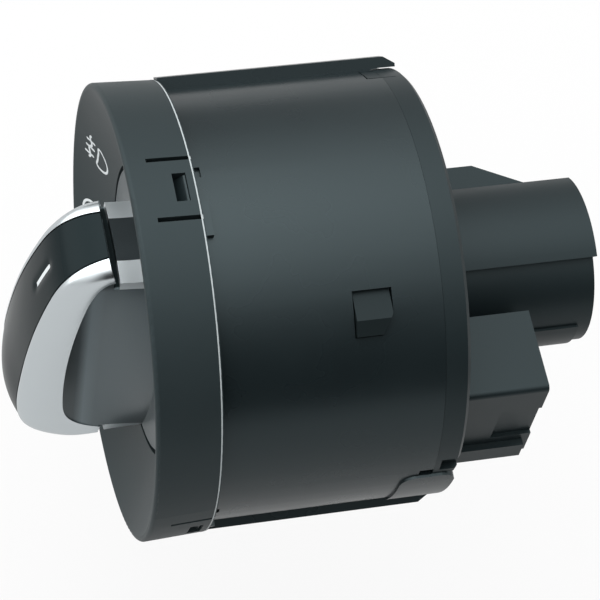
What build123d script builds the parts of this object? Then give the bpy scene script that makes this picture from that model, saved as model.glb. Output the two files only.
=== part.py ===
"""Rotary headlight switch: dial bezel, barrel, rear cover with two sockets, turning and pulling knob."""
import os
from math import cos, radians, sin, sqrt

from build123d import *

os.makedirs("parts", exist_ok=True)

# Millimetres. Y runs along the switch, from the dial to the sockets, with Y = 0 where the bezel
# seats on the dash. Clock angles run clockwise from the top, as the driver sees the dial.

# Clearances
RUNNING = 0.05
SLIDING = 0.1
LOOSE = 0.3
JOIN = 0.3

# Bezel
RIM_R = 39.0
RIM_LAND = 1.0
RIM_ROUND = 0.7
BEZEL_DEPTH = 10.95
BEZEL_DRAFT = 0.5
SKIRT_WALL = 2.0
DISH_DEPTH = 5.0
DISH_HOLLOW = 0.35
DISH_WALL = 1.7
BORE_WALL = 1.6
BORE_DEPTH = 4.2
DISC_GAP = 0.4
TABS = (0.0, 104.0, 180.0, 256.0)
TAB_HALF = 5.55
SLIT_W = 0.76
SLIT_LENGTH = 7.35
WINDOW_HALF = 2.6
WINDOW_FRONT = 3.75
WINDOW_BACK = 1.5
SNAP_H = 1.6

# Barrel
BEZEL_OVERHANG = 2.2
BARREL_WALL = 2.4
BARREL_LENGTH = 37.0
NECK_LENGTH = 4.0
BULKHEAD = 3.05
BULKHEAD_WALL = 2.4
BEARING_R = 8.0
BEARING_WALL = 2.5
BEARING_FRONT = 1.3
BEARING_BACK = 2.1
WEB_COUNT = 6
WEB_TURN = 6.0
WEB_T = 1.6
WEB_LENGTH = 7.6
WEB_DEPTH = 12.0
RAILS = (-53.5, 126.5)
RAIL_W = 3.0
RAIL_H = 2.08
RAIL_TIP_H = 0.8
RAIL_OVERHANG = 2.3
RAIL_TOE = 2.0
STOP_PAD_W = 5.8
STOP_PAD_H = 1.1
STOP_PAD_L = 1.3
STOP_PAD_TURN = 8.5
SEAM_NOTCH_TURN = -5.5
SEAM_NOTCH_W = 2.0
LUGS = (104.0, 284.0)
LUG_W = 16.0
LUG_LENGTH = 4.25
LUG_ROUND = 2.6
LUG_H = 0.4
EDGE_SLOTS = (-14.0, 10.8)
EDGE_SLOT_W = 1.8
EDGE_SLOT_L = 2.4
LATCHES = (-44.0, 136.0)
LATCH_W = 5.2
LATCH_L = 2.4

# Side catches
CATCHES = (36.0, 216.0)
CATCH_Y = 25.45
CATCH_W = 7.6
CATCH_L = 6.5
CATCH_CORNER = (3.6, 1.9)
CATCH_RISE = 1.1
CATCH_FLAT = 0.9
CATCH_FALL = 0.5
CATCH_DEPTH = 3.3
CATCH_TRAVEL = 2.2
POCKET_WALL = 1.3
CATCH_SPRING_R = 1.5
CATCH_SPRING_WIRE = 0.2
CATCH_SPRING_TURNS = 5

# Rear cover
FLANGE_L = 4.25
FLANGE_ROUND = 0.6
PLATE_T = 2.2
SPIGOT_T = 1.7
SPIGOT_L = 3.8
FLANGE_NOTCH = 87.0
FLANGE_NOTCH_W = 3.2
FLANGE_NOTCH_LAND = 1.0
COLLAR_R = 13.7
COLLAR_WALL = 1.8
COLLAR_LENGTH = 29.3
COLLAR_THICK = 1.5
COLLAR_THICK_ARC = (-44.0, 27.5)
COLLAR_LIP = 0.5
COLLAR_LIP_ARC = (82.0, 160.0)
COLLAR_LIP_SHORT = 2.6
SOCKET_FLOOR = 1.9
KEY_RIBS = (150.0, 290.0)
KEY_RIB_W = 2.0
KEY_RIB_H = 0.9
KEY_RIB_SHORT = 4.0
SHROUD_GAP = 1.3
SHROUD_W = 15.0
SHROUD_H = 22.9
SHROUD_RAISE = 0.45
SHROUD_WALL = 1.4
SHROUD_LENGTH = 15.4
SHROUD_ROUND = 1.0
SHROUD_RIDGE = 1.2
SHROUD_RIDGE_W = 4.0
SHROUD_NOTCH = 0.7
SHROUD_NOTCH_W = 9.2
SHROUD_NOTCH_L = 7.2
GUSSET = -78.0
GUSSET_W = 7.2
GUSSET_H = 4.6
GUSSET_FLAT = 13.9
GUSSET_SLOPE = 8.8
POST_R = 2.7
POST_ANGLES = (45.0, 147.0, 237.0)
POST_CIRCLE = 27.0

# Blades, circuit board and contact plate
BLADE_T = 0.8
BLADE_W = 2.6
BLADE_TIP = 0.9
BLADE_TAIL = 0.8
BLADE_FIT = 0.02
ROUND_PITCH = 5.4
ROUND_ROWS = 8.8
BOX_PITCH = 4.8
BOX_ROWS = 5.6
ROUND_BLADE = 11.8
BOX_BLADE = 6.3
BOARD_T = 1.6
BOARD_BORE = 3.0
BOARD_EDGE = 0.4
SCREW_R = 1.2
SCREW_HEAD_R = 2.3
SCREW_HEAD_H = 1.5
SCREW_LENGTH = 5.4
CROSS_W = 0.5
CROSS_L = 3.2
CROSS_DEPTH = 0.7
CHIP = (9.0, 9.0, 1.5)
CHIP_AT = (-10.5, 17.5)
CHIP_LEGS = 7
CHIP_PITCH = 1.2
CHIP_LEG_W = 0.5
CAPACITOR_R = 2.5
CAPACITOR_H = 3.4
CAPACITOR_AT = (-9.0, -20.5)
TRANSISTOR = (6.5, 6.2, 2.3)
TRANSISTOR_AT = (6.2, -22.0)
TRANSISTOR_TAB = 1.4
CONTACT_R = 25.2
CONTACT_BORE = 9.5
CONTACT_T = 1.6
CONTACT_GAP = 3.8
LEG_R = 2.0
LEG_CIRCLE = 14.5
LEGS = (90.0, 210.0, 330.0)
TRACK_T = 0.5
TRACK_W = 3.0
TRACK_R = (12.0, 18.0)
TRACK_ARCS = ((-150.0, 150.0), (-40.0, 160.0))

# Rotor, wipers and detent
NOSE_BORE = 3.0
ROTOR_FLANGE_R = 19.0
ROTOR_FLANGE_T = 4.2
ROTOR_R = 10.5
ROTOR_WALL = 2.0
CARRIER_R = 20.5
CARRIER_T = 1.8
WIPER_GAP = 2.9
WIPER_T = 0.5
WIPER_W = 2.0
WIPER_FOOT = (-4.0, 3.0)
WIPER_CREST = (0.5, 1.5)
WIPER_TIP = (2.8, 3.2)
WIPER_DIP = 1.5
CAP_T = 1.4
CAP_BORE = 4.5
DETENT_R = 15.0
DETENT_RING_T = 1.6
DETENT_RING_W = 7.2
BALL_R = 1.6
CLICKS = (-30.0, 0.0, 30.0, 60.0)
BALL_POCKET = 3.6
DETENT_SPRING_R = 1.1
DETENT_SPRING_WIRE = 0.18

# Shaft
SHAFT_SIDE = 8.0
SHAFT_LENGTH = 20.8
SHAFT_FLANGE_R = 8.2
SHAFT_FLANGE_T = 2.2
SHAFT_PEG_R = 3.45
SHAFT_PEG_L = 11.6
PULL_TRAVEL = 6.0
CLIP_T = 1.2
CLIP_R = 7.6
CLIP_SLOT = 6.6
CLIP_END = 1.8
SHAFT_SPRING_R = 6.8
SHAFT_SPRING_WIRE = 0.4
SHAFT_SPRING_TURNS = 3.5

# Dial lighting
GUIDE_GAP = 0.5
LAMP_BOARD_T = 1.3
LAMP_BOARD_W = 6.9
LAMP_SIDE = 3.0
LAMP_H = 1.2
LAMPS = (-112.0, -90.0, 0.0, 30.0, 62.0)

# Knob. Side views of the grip are given as shares: along Z of the grip's end radius, and along Y
# of the grip's height above the groove, from the pointer end over the crest to the tail.
DISC_R = 24.5
DISC_T = 3.0
DISC_ROUND = 0.5
GROOVE_H = 6.6
GROOVE_W = 1.0
GROOVE_DEPTH = 1.3
GRIP_REACH = 0.9
GRIP_H = 14.15
GRIP_HALF = 9.15
GRIP_TAPER = 0.0615
GRIP_SQUARE = 2.8
GRIP_STEPS = (0, 20, 45, 70, 90)
INLAY_HALF = 5.75
INLAY_TAPER = 0.066
CROWN = 1.2
INLAY_EDGE = ((1.0, 0.0), (0.985, 0.15), (0.921, 0.325), (0.80, 0.465), (0.60, 0.605), (0.23, 0.784),
              (-0.33, 0.954), (-0.65, 0.998), (-0.83, 0.915), (-0.95, 0.54), (-0.975, 0.0))
TRIM_FRONT = ((0.933, 0.0), (0.917, 0.07), (0.862, 0.17), (0.67, 0.304), (0.437, 0.389), (0.161, 0.459),
              (-0.165, 0.502))
GRIP_TAIL = ((-0.472, 0.505), (-0.728, 0.473), (-0.874, 0.353), (-0.894, 0.0))
TRIM_TAIL = ((-0.44, 0.502), (-0.626, 0.455), (-0.724, 0.356), (-0.783, 0.205), (-0.839, 0.0))
FLANK = ((-0.3, 13.9, -0.3), (0.65, 13.2, 0.0), (3.35, 11.1, 0.0), (5.95, 9.6, 0.2), (8.55, 8.7, 0.5),
         (10.95, 8.5, 0.8), (13.45, 8.8, 0.9), (15.25, 9.2, 0.7))
TRIM_T = 1.3
TRIM_SIDE = 0.9
TRIM_LAP = 0.25
TIE_INSET = 4.1
TIE_BITE = (2.95, -0.85)
TIE_T = 1.0
TIE_RISE = 3.05
END_TRIM_DEPTH = 1.5
END_TRIM_LEG = 3.7
TAIL_TRIM_LEG = 4.6
END_TRIM_FOOT = 0.8
POINTER_W = 0.8
POINTER_L = 6.3
POINTER_INSET = 10.2
HOLLOW_W = 10.4
HOLLOW_L = 10.0
HOLLOW_INSET = 10.4
HOLLOW_CAP = 9.0

# Places along Y and radii, worked out from the sizes above
RIM_Y = -BEZEL_DEPTH
DISH_Y = RIM_Y + DISH_DEPTH
BARREL_R = RIM_R - BEZEL_OVERHANG
GRIP_R = DISC_R + GRIP_REACH
HOLLOW_AT = GRIP_R - HOLLOW_INSET
POINTER_AT = GRIP_R - POINTER_INSET
DISC_BACK = DISH_Y + DISC_T
SEAT_R = RIM_R - BEZEL_DRAFT
SKIRT_R = SEAT_R - SKIRT_WALL
BORE_R = DISC_R + DISC_GAP
BORE_END = DISH_Y + BORE_DEPTH
BARREL_IN = BARREL_R - BARREL_WALL
BARREL_FRONT = RUNNING
BARREL_END = BARREL_FRONT + BARREL_LENGTH
BULKHEAD_BACK = BULKHEAD + BULKHEAD_WALL
BEARING_Y = (BULKHEAD - BEARING_FRONT, BULKHEAD_BACK + BEARING_BACK)
FLANGE_FRONT = BARREL_END + RUNNING
COVER_Y = FLANGE_FRONT + FLANGE_L
PLATE_Y = COVER_Y - PLATE_T
SPIGOT_END = FLANGE_FRONT - SPIGOT_L
FLOOR_Y = COVER_Y + SOCKET_FLOOR
COLLAR_IN = COLLAR_R - COLLAR_WALL
COLLAR_END = COVER_Y + COLLAR_LENGTH
SHROUD_X = COLLAR_R + SHROUD_GAP
SHROUD_END = COVER_Y + SHROUD_LENGTH
BOARD_BACK = SPIGOT_END + BOARD_T
BOARD_FRONT = SPIGOT_END
POST_FRONT = BOARD_BACK + RUNNING
CONTACT_BACK = BOARD_FRONT - CONTACT_GAP
CONTACT_FRONT = CONTACT_BACK - CONTACT_T
TRACK_FRONT = CONTACT_FRONT - TRACK_T
CARRIER_BACK = TRACK_FRONT - WIPER_GAP
ROTOR_FRONT = BEARING_Y[0] + SLIDING
ROTOR_FLANGE_Y = BEARING_Y[1] + LOOSE
ROTOR_BORE = ROTOR_R - ROTOR_WALL
SHAFT_FLANGE_BACK = DISC_BACK + SHAFT_FLANGE_T
SHAFT_END = SHAFT_FLANGE_BACK + SHAFT_LENGTH
CLIP_Y = (SHAFT_END - CLIP_END - CLIP_T, SHAFT_END - CLIP_END)
SPRING_ROOM = CLIP_Y[0] - PULL_TRAVEL - LOOSE
CATCH_R = (BARREL_IN - CATCH_DEPTH, BARREL_IN - 2 * SLIDING)
POCKET_R = CATCH_R[0] - CATCH_TRAVEL - 2 * LOOSE
POSTS = [(POST_CIRCLE * sin(radians(a)), POST_CIRCLE * cos(radians(a))) for a in POST_ANGLES]
SHROUD_MID = SHROUD_X + SHROUD_W / 2
ROUND_PINS = [(x * ROUND_ROWS / 2, z * ROUND_PITCH) for x in (-1, 1) for z in (-1, 0, 1)]
BOX_PINS = {side: [(SHROUD_MID + side * BOX_ROWS / 2, SHROUD_RAISE + z * BOX_PITCH)
                   for z in (-1.5, -0.5, 0.5, 1.5)] for side in (-1, 1)}
ALL_PINS = ROUND_PINS + BOX_PINS[-1] + BOX_PINS[1]
CATCH_WINDOW = [(-CATCH_W / 2, -CATCH_L / 2), (CATCH_W / 2, -CATCH_L / 2),
                (CATCH_W / 2, CATCH_L / 2 - CATCH_CORNER[1]),
                (CATCH_W / 2 - CATCH_CORNER[0], CATCH_L / 2), (-CATCH_W / 2, CATCH_L / 2)]


def axial(y=0.0):
    """Plane square to the switch at a depth: local x is X and local y is -Z."""
    return Plane(origin=(0, y, 0), x_dir=(1, 0, 0), z_dir=(0, 1, 0))


def radial(angle, r=0.0, y=0.0):
    """Plane facing outwards at a clock angle: local x runs clockwise, local y to the rear."""
    a = radians(angle)
    return Plane(origin=(r * sin(a), y, r * cos(a)), x_dir=(cos(a), 0, -sin(a)), z_dir=(sin(a), 0, cos(a)))


def section(angle):
    """Plane through the switch's axis at a clock angle: local x is the radius, local y is Y."""
    a = radians(angle)
    return Plane(origin=(0, 0, 0), x_dir=(sin(a), 0, cos(a)), z_dir=(-cos(a), 0, sin(a)))


def block(plane, x, y, z, mode=Mode.ADD):
    """Box between pairs of local x, y and z on a plane."""
    middle = Location(((x[0] + x[1]) / 2, (y[0] + y[1]) / 2, (z[0] + z[1]) / 2))
    with Locations(plane.location * middle):
        Box(abs(x[1] - x[0]), abs(y[1] - y[0]), abs(z[1] - z[0]), mode=mode)


def rod(x, z, r, y, mode=Mode.ADD):
    """Round bar along Y between a pair of depths."""
    with Locations(Plane(origin=(x, sum(y) / 2, z), x_dir=(1, 0, 0), z_dir=(0, 1, 0)).location):
        Cylinder(r, abs(y[1] - y[0]), mode=mode)


def turned(points, mode=Mode.ADD):
    """Closed outline of (radius, depth) points turned about the switch's axis."""
    with BuildSketch(Plane.XY) as outline:
        with BuildLine():
            Polyline(*points, close=True)
        make_face()
    revolve(outline.sketch, axis=Axis.Y, mode=mode)


def tube(r, y, mode=Mode.ADD):
    turned([(r[0], y[0]), (r[1], y[0]), (r[1], y[1]), (r[0], y[1])], mode)


def prism(plane, points, half, mode=Mode.ADD):
    """Closed outline on a plane, raised by the same amount to both sides."""
    with BuildSketch(plane) as outline:
        with BuildLine():
            Polyline(*points, close=True)
        make_face()
    extrude(outline.sketch, amount=half, both=True, mode=mode)


def sector(r, y, clock, mode=Mode.ADD):
    """Part of a tube between two clock angles."""
    half = radians((clock[1] - clock[0]) / 2)
    mid = radians((clock[0] + clock[1]) / 2)

    def at(radius, turn):
        return (radius * sin(mid + turn), -radius * cos(mid + turn))

    with BuildSketch(axial(y[0])) as outline:
        with BuildLine():
            ThreePointArc(at(r[0], -half), at(r[0], 0), at(r[0], half))
            Line(at(r[0], half), at(r[1], half))
            ThreePointArc(at(r[1], half), at(r[1], 0), at(r[1], -half))
            Line(at(r[1], -half), at(r[0], -half))
        make_face()
    extrude(outline.sketch, amount=y[1] - y[0], mode=mode)


def coil(plane, radius, wire, room, turns):
    """Compression spring that fills the room above a plane."""
    height = room - 2 * wire - RUNNING
    with BuildPart() as spring:
        with BuildLine() as path:
            Helix(pitch=height / turns, height=height, radius=radius)
        with BuildSketch(Plane(origin=path.line @ 0, z_dir=path.line % 0)) as wire_end:
            Circle(wire)
        sweep(wire_end.sketch, path=path.line, is_frenet=True)
    return spring.part.moved(plane.location * Location((0, 0, wire + RUNNING / 2)))


def keep(name, part):
    """Label a finished piece and write it."""
    part.label = name
    export_step(part, f"parts/{name}.step")


# Front bezel: rim, dished dial, bore for the knob's disc, skirt with four snap tabs
with BuildPart() as front_bezel:
    with BuildSketch(Plane.XY) as bezel_section:
        with BuildLine():
            Polyline((RIM_R - RIM_LAND, RIM_Y), (RIM_R, RIM_Y), (SEAT_R, 0), (SKIRT_R, 0),
                     (SKIRT_R, RIM_Y + DISH_WALL + RIM_LAND + LOOSE), (BORE_R + BORE_WALL, DISH_Y + DISH_WALL),
                     (BORE_R + BORE_WALL, BORE_END), (BORE_R, BORE_END), (BORE_R, DISH_Y))
            dish_middle = ((RIM_R - RIM_LAND + BORE_R) / 2, (RIM_Y + DISH_Y) / 2 + DISH_HOLLOW)
            ThreePointArc((BORE_R, DISH_Y), dish_middle, (RIM_R - RIM_LAND, RIM_Y))
        make_face()
        corners = bezel_section.vertices()
        fillet(corners.sort_by_distance((RIM_R, RIM_Y, 0))[0], RIM_ROUND)
        fillet(corners.sort_by_distance((RIM_R - RIM_LAND, RIM_Y, 0))[0], LOOSE)
        fillet(corners.sort_by_distance((BORE_R, DISH_Y, 0))[0], LOOSE)
        fillet(corners.sort_by_distance((SEAT_R, 0, 0))[0], LOOSE)
    revolve(axis=Axis.Y)
    for tab in TABS:
        wall = (SKIRT_R - SLIDING, RIM_R + SLIDING)
        for side in (-TAB_HALF, TAB_HALF):
            block(radial(tab), (side - SLIT_W / 2, side + SLIT_W / 2), (-SLIT_LENGTH, LOOSE),
                  (wall[0] - SKIRT_WALL / 3, wall[1]), Mode.SUBTRACT)
        block(radial(tab), (-WINDOW_HALF, WINDOW_HALF), (-WINDOW_FRONT, -WINDOW_BACK),
              (wall[0] - SKIRT_WALL / 3, wall[1]), Mode.SUBTRACT)
keep("front_bezel", front_bezel.part)

# Rounded lugs at the barrel's rear edge
lug_blocks = []
for lug in LUGS:
    with BuildPart() as lug_block:
        with BuildSketch(radial(lug, BARREL_IN - JOIN)):
            with Locations((0, BARREL_END + LUG_LENGTH / 2 - LUG_ROUND)):
                RectangleRounded(LUG_W, LUG_LENGTH + 2 * LUG_ROUND, LUG_ROUND - SLIDING)
        extrude(amount=BARREL_WALL * 3)
        tube((BARREL_IN + LUG_H + SLIDING, BARREL_R + LUG_H),
             (BARREL_END - 3 * LUG_ROUND, BARREL_END + LUG_LENGTH * 2), Mode.INTERSECT)
    lug_blocks.append(lug_block.part)

# Barrel: wall and neck, bulkhead with the rotor's bearing, rails, snap wedges, catch pockets
with BuildPart() as barrel_housing:
    turned([(BARREL_IN, -NECK_LENGTH), (SKIRT_R - SLIDING, -NECK_LENGTH), (SKIRT_R - SLIDING, BARREL_FRONT),
            (BARREL_R, BARREL_FRONT), (BARREL_R, BARREL_END), (BARREL_IN, BARREL_END)])
    tube((BEARING_R, BARREL_IN + JOIN), (BULKHEAD, BULKHEAD_BACK))
    tube((BEARING_R, BEARING_R + BEARING_WALL), BEARING_Y)
    for web in range(WEB_COUNT):
        block(radial(web * 360.0 / WEB_COUNT + WEB_TURN), (-WEB_T / 2, WEB_T / 2),
              (BULKHEAD_BACK - JOIN, BULKHEAD_BACK + WEB_LENGTH), (BARREL_IN - WEB_DEPTH, BARREL_IN + JOIN))
    for rail in RAILS:
        crest = BARREL_R + RAIL_H
        block(radial(rail), (-RAIL_W / 2, RAIL_W / 2), (BARREL_FRONT, BARREL_END), (BARREL_R - JOIN * 2, crest))
        tip = BARREL_END + RAIL_OVERHANG
        prism(section(rail), [(BARREL_R + 2 * SLIDING, BARREL_END - JOIN), (crest, BARREL_END - JOIN), (crest, tip),
                              (BARREL_R + RAIL_TIP_H, tip + RAIL_TOE), (BARREL_R + 2 * SLIDING, tip + RAIL_TOE)],
              RAIL_W / 2)
    snap = (LOOSE - WINDOW_FRONT, -WINDOW_BACK - SLIDING)
    for tab in TABS:
        foot = SKIRT_R - SLIDING - JOIN
        prism(section(tab), [(foot, snap[0]), (SKIRT_R + SLIDING, snap[0]), (SKIRT_R + SNAP_H, snap[1] - LOOSE),
                             (SKIRT_R + SNAP_H, snap[1]), (foot, snap[1])], WINDOW_HALF - 2 * SLIDING)
        block(radial(tab + STOP_PAD_TURN), (-STOP_PAD_W / 2, STOP_PAD_W / 2), (BARREL_FRONT, STOP_PAD_L),
              (BARREL_R - JOIN * 2, BARREL_R + STOP_PAD_H))
        block(radial(tab + SEAM_NOTCH_TURN), (-SEAM_NOTCH_W / 2, SEAM_NOTCH_W / 2), (0, STOP_PAD_L),
              (BARREL_R - JOIN * 2, BARREL_R + STOP_PAD_H), Mode.SUBTRACT)
    for catch in CATCHES:
        room = CATCH_W / 2 + SLIDING
        deep = CATCH_L / 2 + SLIDING
        block(radial(catch, 0, CATCH_Y), (-room - POCKET_WALL, room + POCKET_WALL),
              (-deep - POCKET_WALL, deep + POCKET_WALL), (POCKET_R - POCKET_WALL, BARREL_IN + JOIN))
        block(radial(catch, 0, CATCH_Y), (-room, room), (-deep, deep), (POCKET_R, BARREL_IN), Mode.SUBTRACT)
        prism(radial(catch, BARREL_R, CATCH_Y), CATCH_WINDOW, BARREL_WALL * 2, Mode.SUBTRACT)
    for lug, piece in zip(LUGS, lug_blocks):
        add(piece)
        for turn in EDGE_SLOTS:
            block(radial(lug + turn), (-EDGE_SLOT_W / 2, EDGE_SLOT_W / 2),
                  (BARREL_END - EDGE_SLOT_L, BARREL_END + JOIN), (BARREL_IN - JOIN * 4, BARREL_R + LUG_H + JOIN),
                  Mode.SUBTRACT)
    for latch in LATCHES:
        block(radial(latch), (-LATCH_W / 2 - LOOSE, LATCH_W / 2 + LOOSE),
              (BARREL_END - LATCH_L - LOOSE, BARREL_END + JOIN), (BARREL_IN - JOIN * 4, BARREL_R + JOIN),
              Mode.SUBTRACT)
keep("barrel_housing", barrel_housing.part)


def blade_slots(y, gap):
    for x, z in ALL_PINS:
        block(axial(), (x - BLADE_T / 2 - gap, x + BLADE_T / 2 + gap),
              (-z - BLADE_W / 2 - gap, -z + BLADE_W / 2 + gap), y, Mode.SUBTRACT)


# Rear cover: flange, end plate, spigot, round collar, rectangular shroud, gusset, screw posts
with BuildPart() as rear_cover:
    flange_r = BARREL_R - RUNNING
    spigot_r = BARREL_IN - SLIDING
    turned([(0, PLATE_Y), (BARREL_IN + 2 * SLIDING, PLATE_Y), (BARREL_IN + 2 * SLIDING, FLANGE_FRONT),
            (flange_r, FLANGE_FRONT), (flange_r, COVER_Y - FLANGE_ROUND), (flange_r - FLANGE_ROUND, COVER_Y),
            (0, COVER_Y)])
    tube((spigot_r - SPIGOT_T, spigot_r), (SPIGOT_END, PLATE_Y + JOIN))
    lug_half = LUG_W / 2 + LOOSE
    lug_clear = sqrt((BARREL_IN + LUG_H) ** 2 - lug_half ** 2) - LOOSE
    for lug in LUGS:
        block(radial(lug), (-lug_half, lug_half), (SPIGOT_END - JOIN, COVER_Y + JOIN), (lug_clear, RIM_R),
              Mode.SUBTRACT)
    block(radial(FLANGE_NOTCH), (-FLANGE_NOTCH_W / 2, FLANGE_NOTCH_W / 2),
          (FLANGE_FRONT + FLANGE_NOTCH_LAND, COVER_Y + JOIN),
          (flange_r - FLANGE_ROUND * 2, RIM_R), Mode.SUBTRACT)
    for latch in LATCHES:
        block(radial(latch), (-LATCH_W / 2, LATCH_W / 2), (BARREL_END - LATCH_L, PLATE_Y + JOIN),
              (spigot_r - JOIN, BARREL_R - SLIDING))
    tube((COLLAR_IN, COLLAR_R), (COVER_Y - JOIN, COLLAR_END - LOOSE))
    sector((COLLAR_R - JOIN, COLLAR_R + COLLAR_THICK), (COVER_Y - JOIN, COLLAR_END), COLLAR_THICK_ARC)
    sector((COLLAR_R - JOIN, COLLAR_R + COLLAR_LIP), (COVER_Y - JOIN, COLLAR_END - COLLAR_LIP_SHORT), COLLAR_LIP_ARC)
    rod(0, 0, COLLAR_R - JOIN, (COVER_Y - JOIN, FLOOR_Y))
    shroud_z = (SHROUD_RAISE - SHROUD_H / 2, SHROUD_RAISE + SHROUD_H / 2)
    block(Plane.XY, (SHROUD_X, SHROUD_X + SHROUD_W), (COVER_Y - JOIN, SHROUD_END), shroud_z)
    shroud_side = SHROUD_X + SHROUD_W
    long_edges = rear_cover.edges().filter_by(Axis.Y)
    fillet(long_edges.filter_by_position(Axis.X, shroud_side - JOIN, shroud_side + JOIN), SHROUD_ROUND)
    block(Plane.XY, (shroud_side - JOIN, shroud_side + SHROUD_RIDGE), (COVER_Y - JOIN, SHROUD_END - SHROUD_RIDGE),
          (shroud_z[0] + SHROUD_ROUND, shroud_z[0] + SHROUD_ROUND + SHROUD_RIDGE_W))
    block(Plane.XY, (SHROUD_X + SHROUD_WALL, shroud_side - SHROUD_WALL), (FLOOR_Y, SHROUD_END + JOIN),
          (shroud_z[0] + SHROUD_WALL, shroud_z[1] - SHROUD_WALL), Mode.SUBTRACT)
    block(Plane.XY, (shroud_side - SHROUD_NOTCH, shroud_side + JOIN / 2),
          (SHROUD_END - SHROUD_NOTCH_L, SHROUD_END + JOIN),
          (SHROUD_RAISE - SHROUD_NOTCH_W / 2, SHROUD_RAISE + SHROUD_NOTCH_W / 2),
          Mode.SUBTRACT)
    prism(section(GUSSET), [(COLLAR_R - JOIN, COVER_Y - JOIN), (COLLAR_R + GUSSET_H, COVER_Y - JOIN),
                            (COLLAR_R + GUSSET_H, COVER_Y + GUSSET_FLAT),
                            (COLLAR_R + COLLAR_LIP, COVER_Y + GUSSET_FLAT + GUSSET_SLOPE),
                            (COLLAR_R - JOIN, COVER_Y + GUSSET_FLAT + GUSSET_SLOPE)], GUSSET_W / 2)
    rod(0, 0, COLLAR_IN, (FLOOR_Y, COLLAR_END + JOIN), Mode.SUBTRACT)
    for rib in KEY_RIBS:
        block(radial(rib), (-KEY_RIB_W / 2, KEY_RIB_W / 2), (FLOOR_Y - JOIN, COLLAR_END - KEY_RIB_SHORT),
              (COLLAR_IN - KEY_RIB_H, COLLAR_IN + JOIN))
    for x, z in POSTS:
        rod(x, z, POST_R, (POST_FRONT, PLATE_Y + JOIN))
        rod(x, z, SCREW_R + RUNNING, (POST_FRONT - JOIN, BOARD_FRONT + SCREW_LENGTH + JOIN), Mode.SUBTRACT)
    blade_slots((PLATE_Y - JOIN, FLOOR_Y + JOIN), BLADE_FIT)
keep("rear_cover", rear_cover.part)

# Socket blades, which pass through the cover into the circuit board
for name, pins, length in (("round_socket_blades", ROUND_PINS, ROUND_BLADE),
                           ("inner_box_blades", BOX_PINS[-1], BOX_BLADE),
                           ("outer_box_blades", BOX_PINS[1], BOX_BLADE)):
    with BuildPart() as blades:
        for x, z in pins:
            tip = FLOOR_Y + length
            half = BLADE_T / 2
            block(Plane.XY, (x - half, x + half), (BOARD_FRONT - BLADE_TAIL, tip - BLADE_TIP),
                  (z - BLADE_W / 2, z + BLADE_W / 2))
            prism(Plane(origin=(x, 0, z), x_dir=(0, 0, 1), z_dir=(1, 0, 0)),
                  [(-BLADE_W / 2, -tip + BLADE_TIP), (BLADE_W / 2, -tip + BLADE_TIP), (BLADE_W / 4, -tip),
                   (-BLADE_W / 4, -tip)], half)
    keep(name, blades.part)

# Circuit board with its chip, capacitor, transistor and screws
with BuildPart() as circuit_board:
    tube((BOARD_BORE, BARREL_IN - SLIDING - SPIGOT_T - BOARD_EDGE), (BOARD_FRONT, BOARD_BACK))
    for x, z in POSTS:
        rod(x, z, SCREW_R + SLIDING, (BOARD_FRONT - JOIN, BOARD_BACK + JOIN), Mode.SUBTRACT)
    blade_slots((BOARD_FRONT - JOIN, BOARD_BACK + JOIN), BLADE_FIT)
keep("circuit_board", circuit_board.part)

with BuildPart() as controller_chip:
    x, z = CHIP_AT
    block(Plane.XY, (x - CHIP[0] / 2, x + CHIP[0] / 2), (BOARD_BACK, BOARD_BACK + CHIP[2]),
          (z - CHIP[1] / 2, z + CHIP[1] / 2))
    for leg in range(CHIP_LEGS):
        at = z + (leg - (CHIP_LEGS - 1) / 2) * CHIP_PITCH
        block(Plane.XY, (x - CHIP[0] / 2 - CHIP_PITCH, x + CHIP[0] / 2 + CHIP_PITCH),
              (BOARD_BACK, BOARD_BACK + CHIP[2] / 2), (at - CHIP_LEG_W / 2, at + CHIP_LEG_W / 2))
keep("controller_chip", controller_chip.part)

with BuildPart() as board_capacitor:
    rod(*CAPACITOR_AT, CAPACITOR_R, (BOARD_BACK, BOARD_BACK + CAPACITOR_H))
keep("board_capacitor", board_capacitor.part)

with BuildPart() as power_transistor:
    x, z = TRANSISTOR_AT
    side = (x - TRANSISTOR[0] / 2, x + TRANSISTOR[0] / 2)
    block(Plane.XY, side, (BOARD_BACK, BOARD_BACK + TRANSISTOR[2]), (z - TRANSISTOR[1] / 2, z + TRANSISTOR[1] / 2))
    block(Plane.XY, side, (BOARD_BACK, BOARD_BACK + CROSS_W),
          (z - TRANSISTOR[1] / 2 - TRANSISTOR_TAB, z - TRANSISTOR[1] / 2 + JOIN))
keep("power_transistor", power_transistor.part)

with BuildPart() as board_screws:
    for x, z in POSTS:
        head = BOARD_FRONT - SCREW_HEAD_H
        rod(x, z, SCREW_HEAD_R, (head, BOARD_FRONT))
        rod(x, z, SCREW_R, (BOARD_FRONT - JOIN, BOARD_FRONT + SCREW_LENGTH))
        for a, b in ((CROSS_L, CROSS_W), (CROSS_W, CROSS_L)):
            block(Plane.XY, (x - a / 2, x + a / 2), (head - JOIN, head + CROSS_DEPTH), (z - b / 2, z + b / 2),
                  Mode.SUBTRACT)
keep("board_screws", board_screws.part)

# Contact plate with its two tracks, standing on the board
with BuildPart() as contact_plate:
    tube((CONTACT_BORE, CONTACT_R), (CONTACT_FRONT, CONTACT_BACK))
    for leg in LEGS:
        a = radians(leg)
        rod(LEG_CIRCLE * sin(a), LEG_CIRCLE * cos(a), LEG_R, (CONTACT_BACK - JOIN, BOARD_FRONT))
keep("contact_plate", contact_plate.part)

for name, radius, arc in zip(("inner", "outer"), TRACK_R, TRACK_ARCS):
    with BuildPart() as contact_track:
        sector((radius - TRACK_W / 2, radius + TRACK_W / 2), (TRACK_FRONT, CONTACT_FRONT), arc)
    keep(f"{name}_contact_track", contact_track.part)

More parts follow.
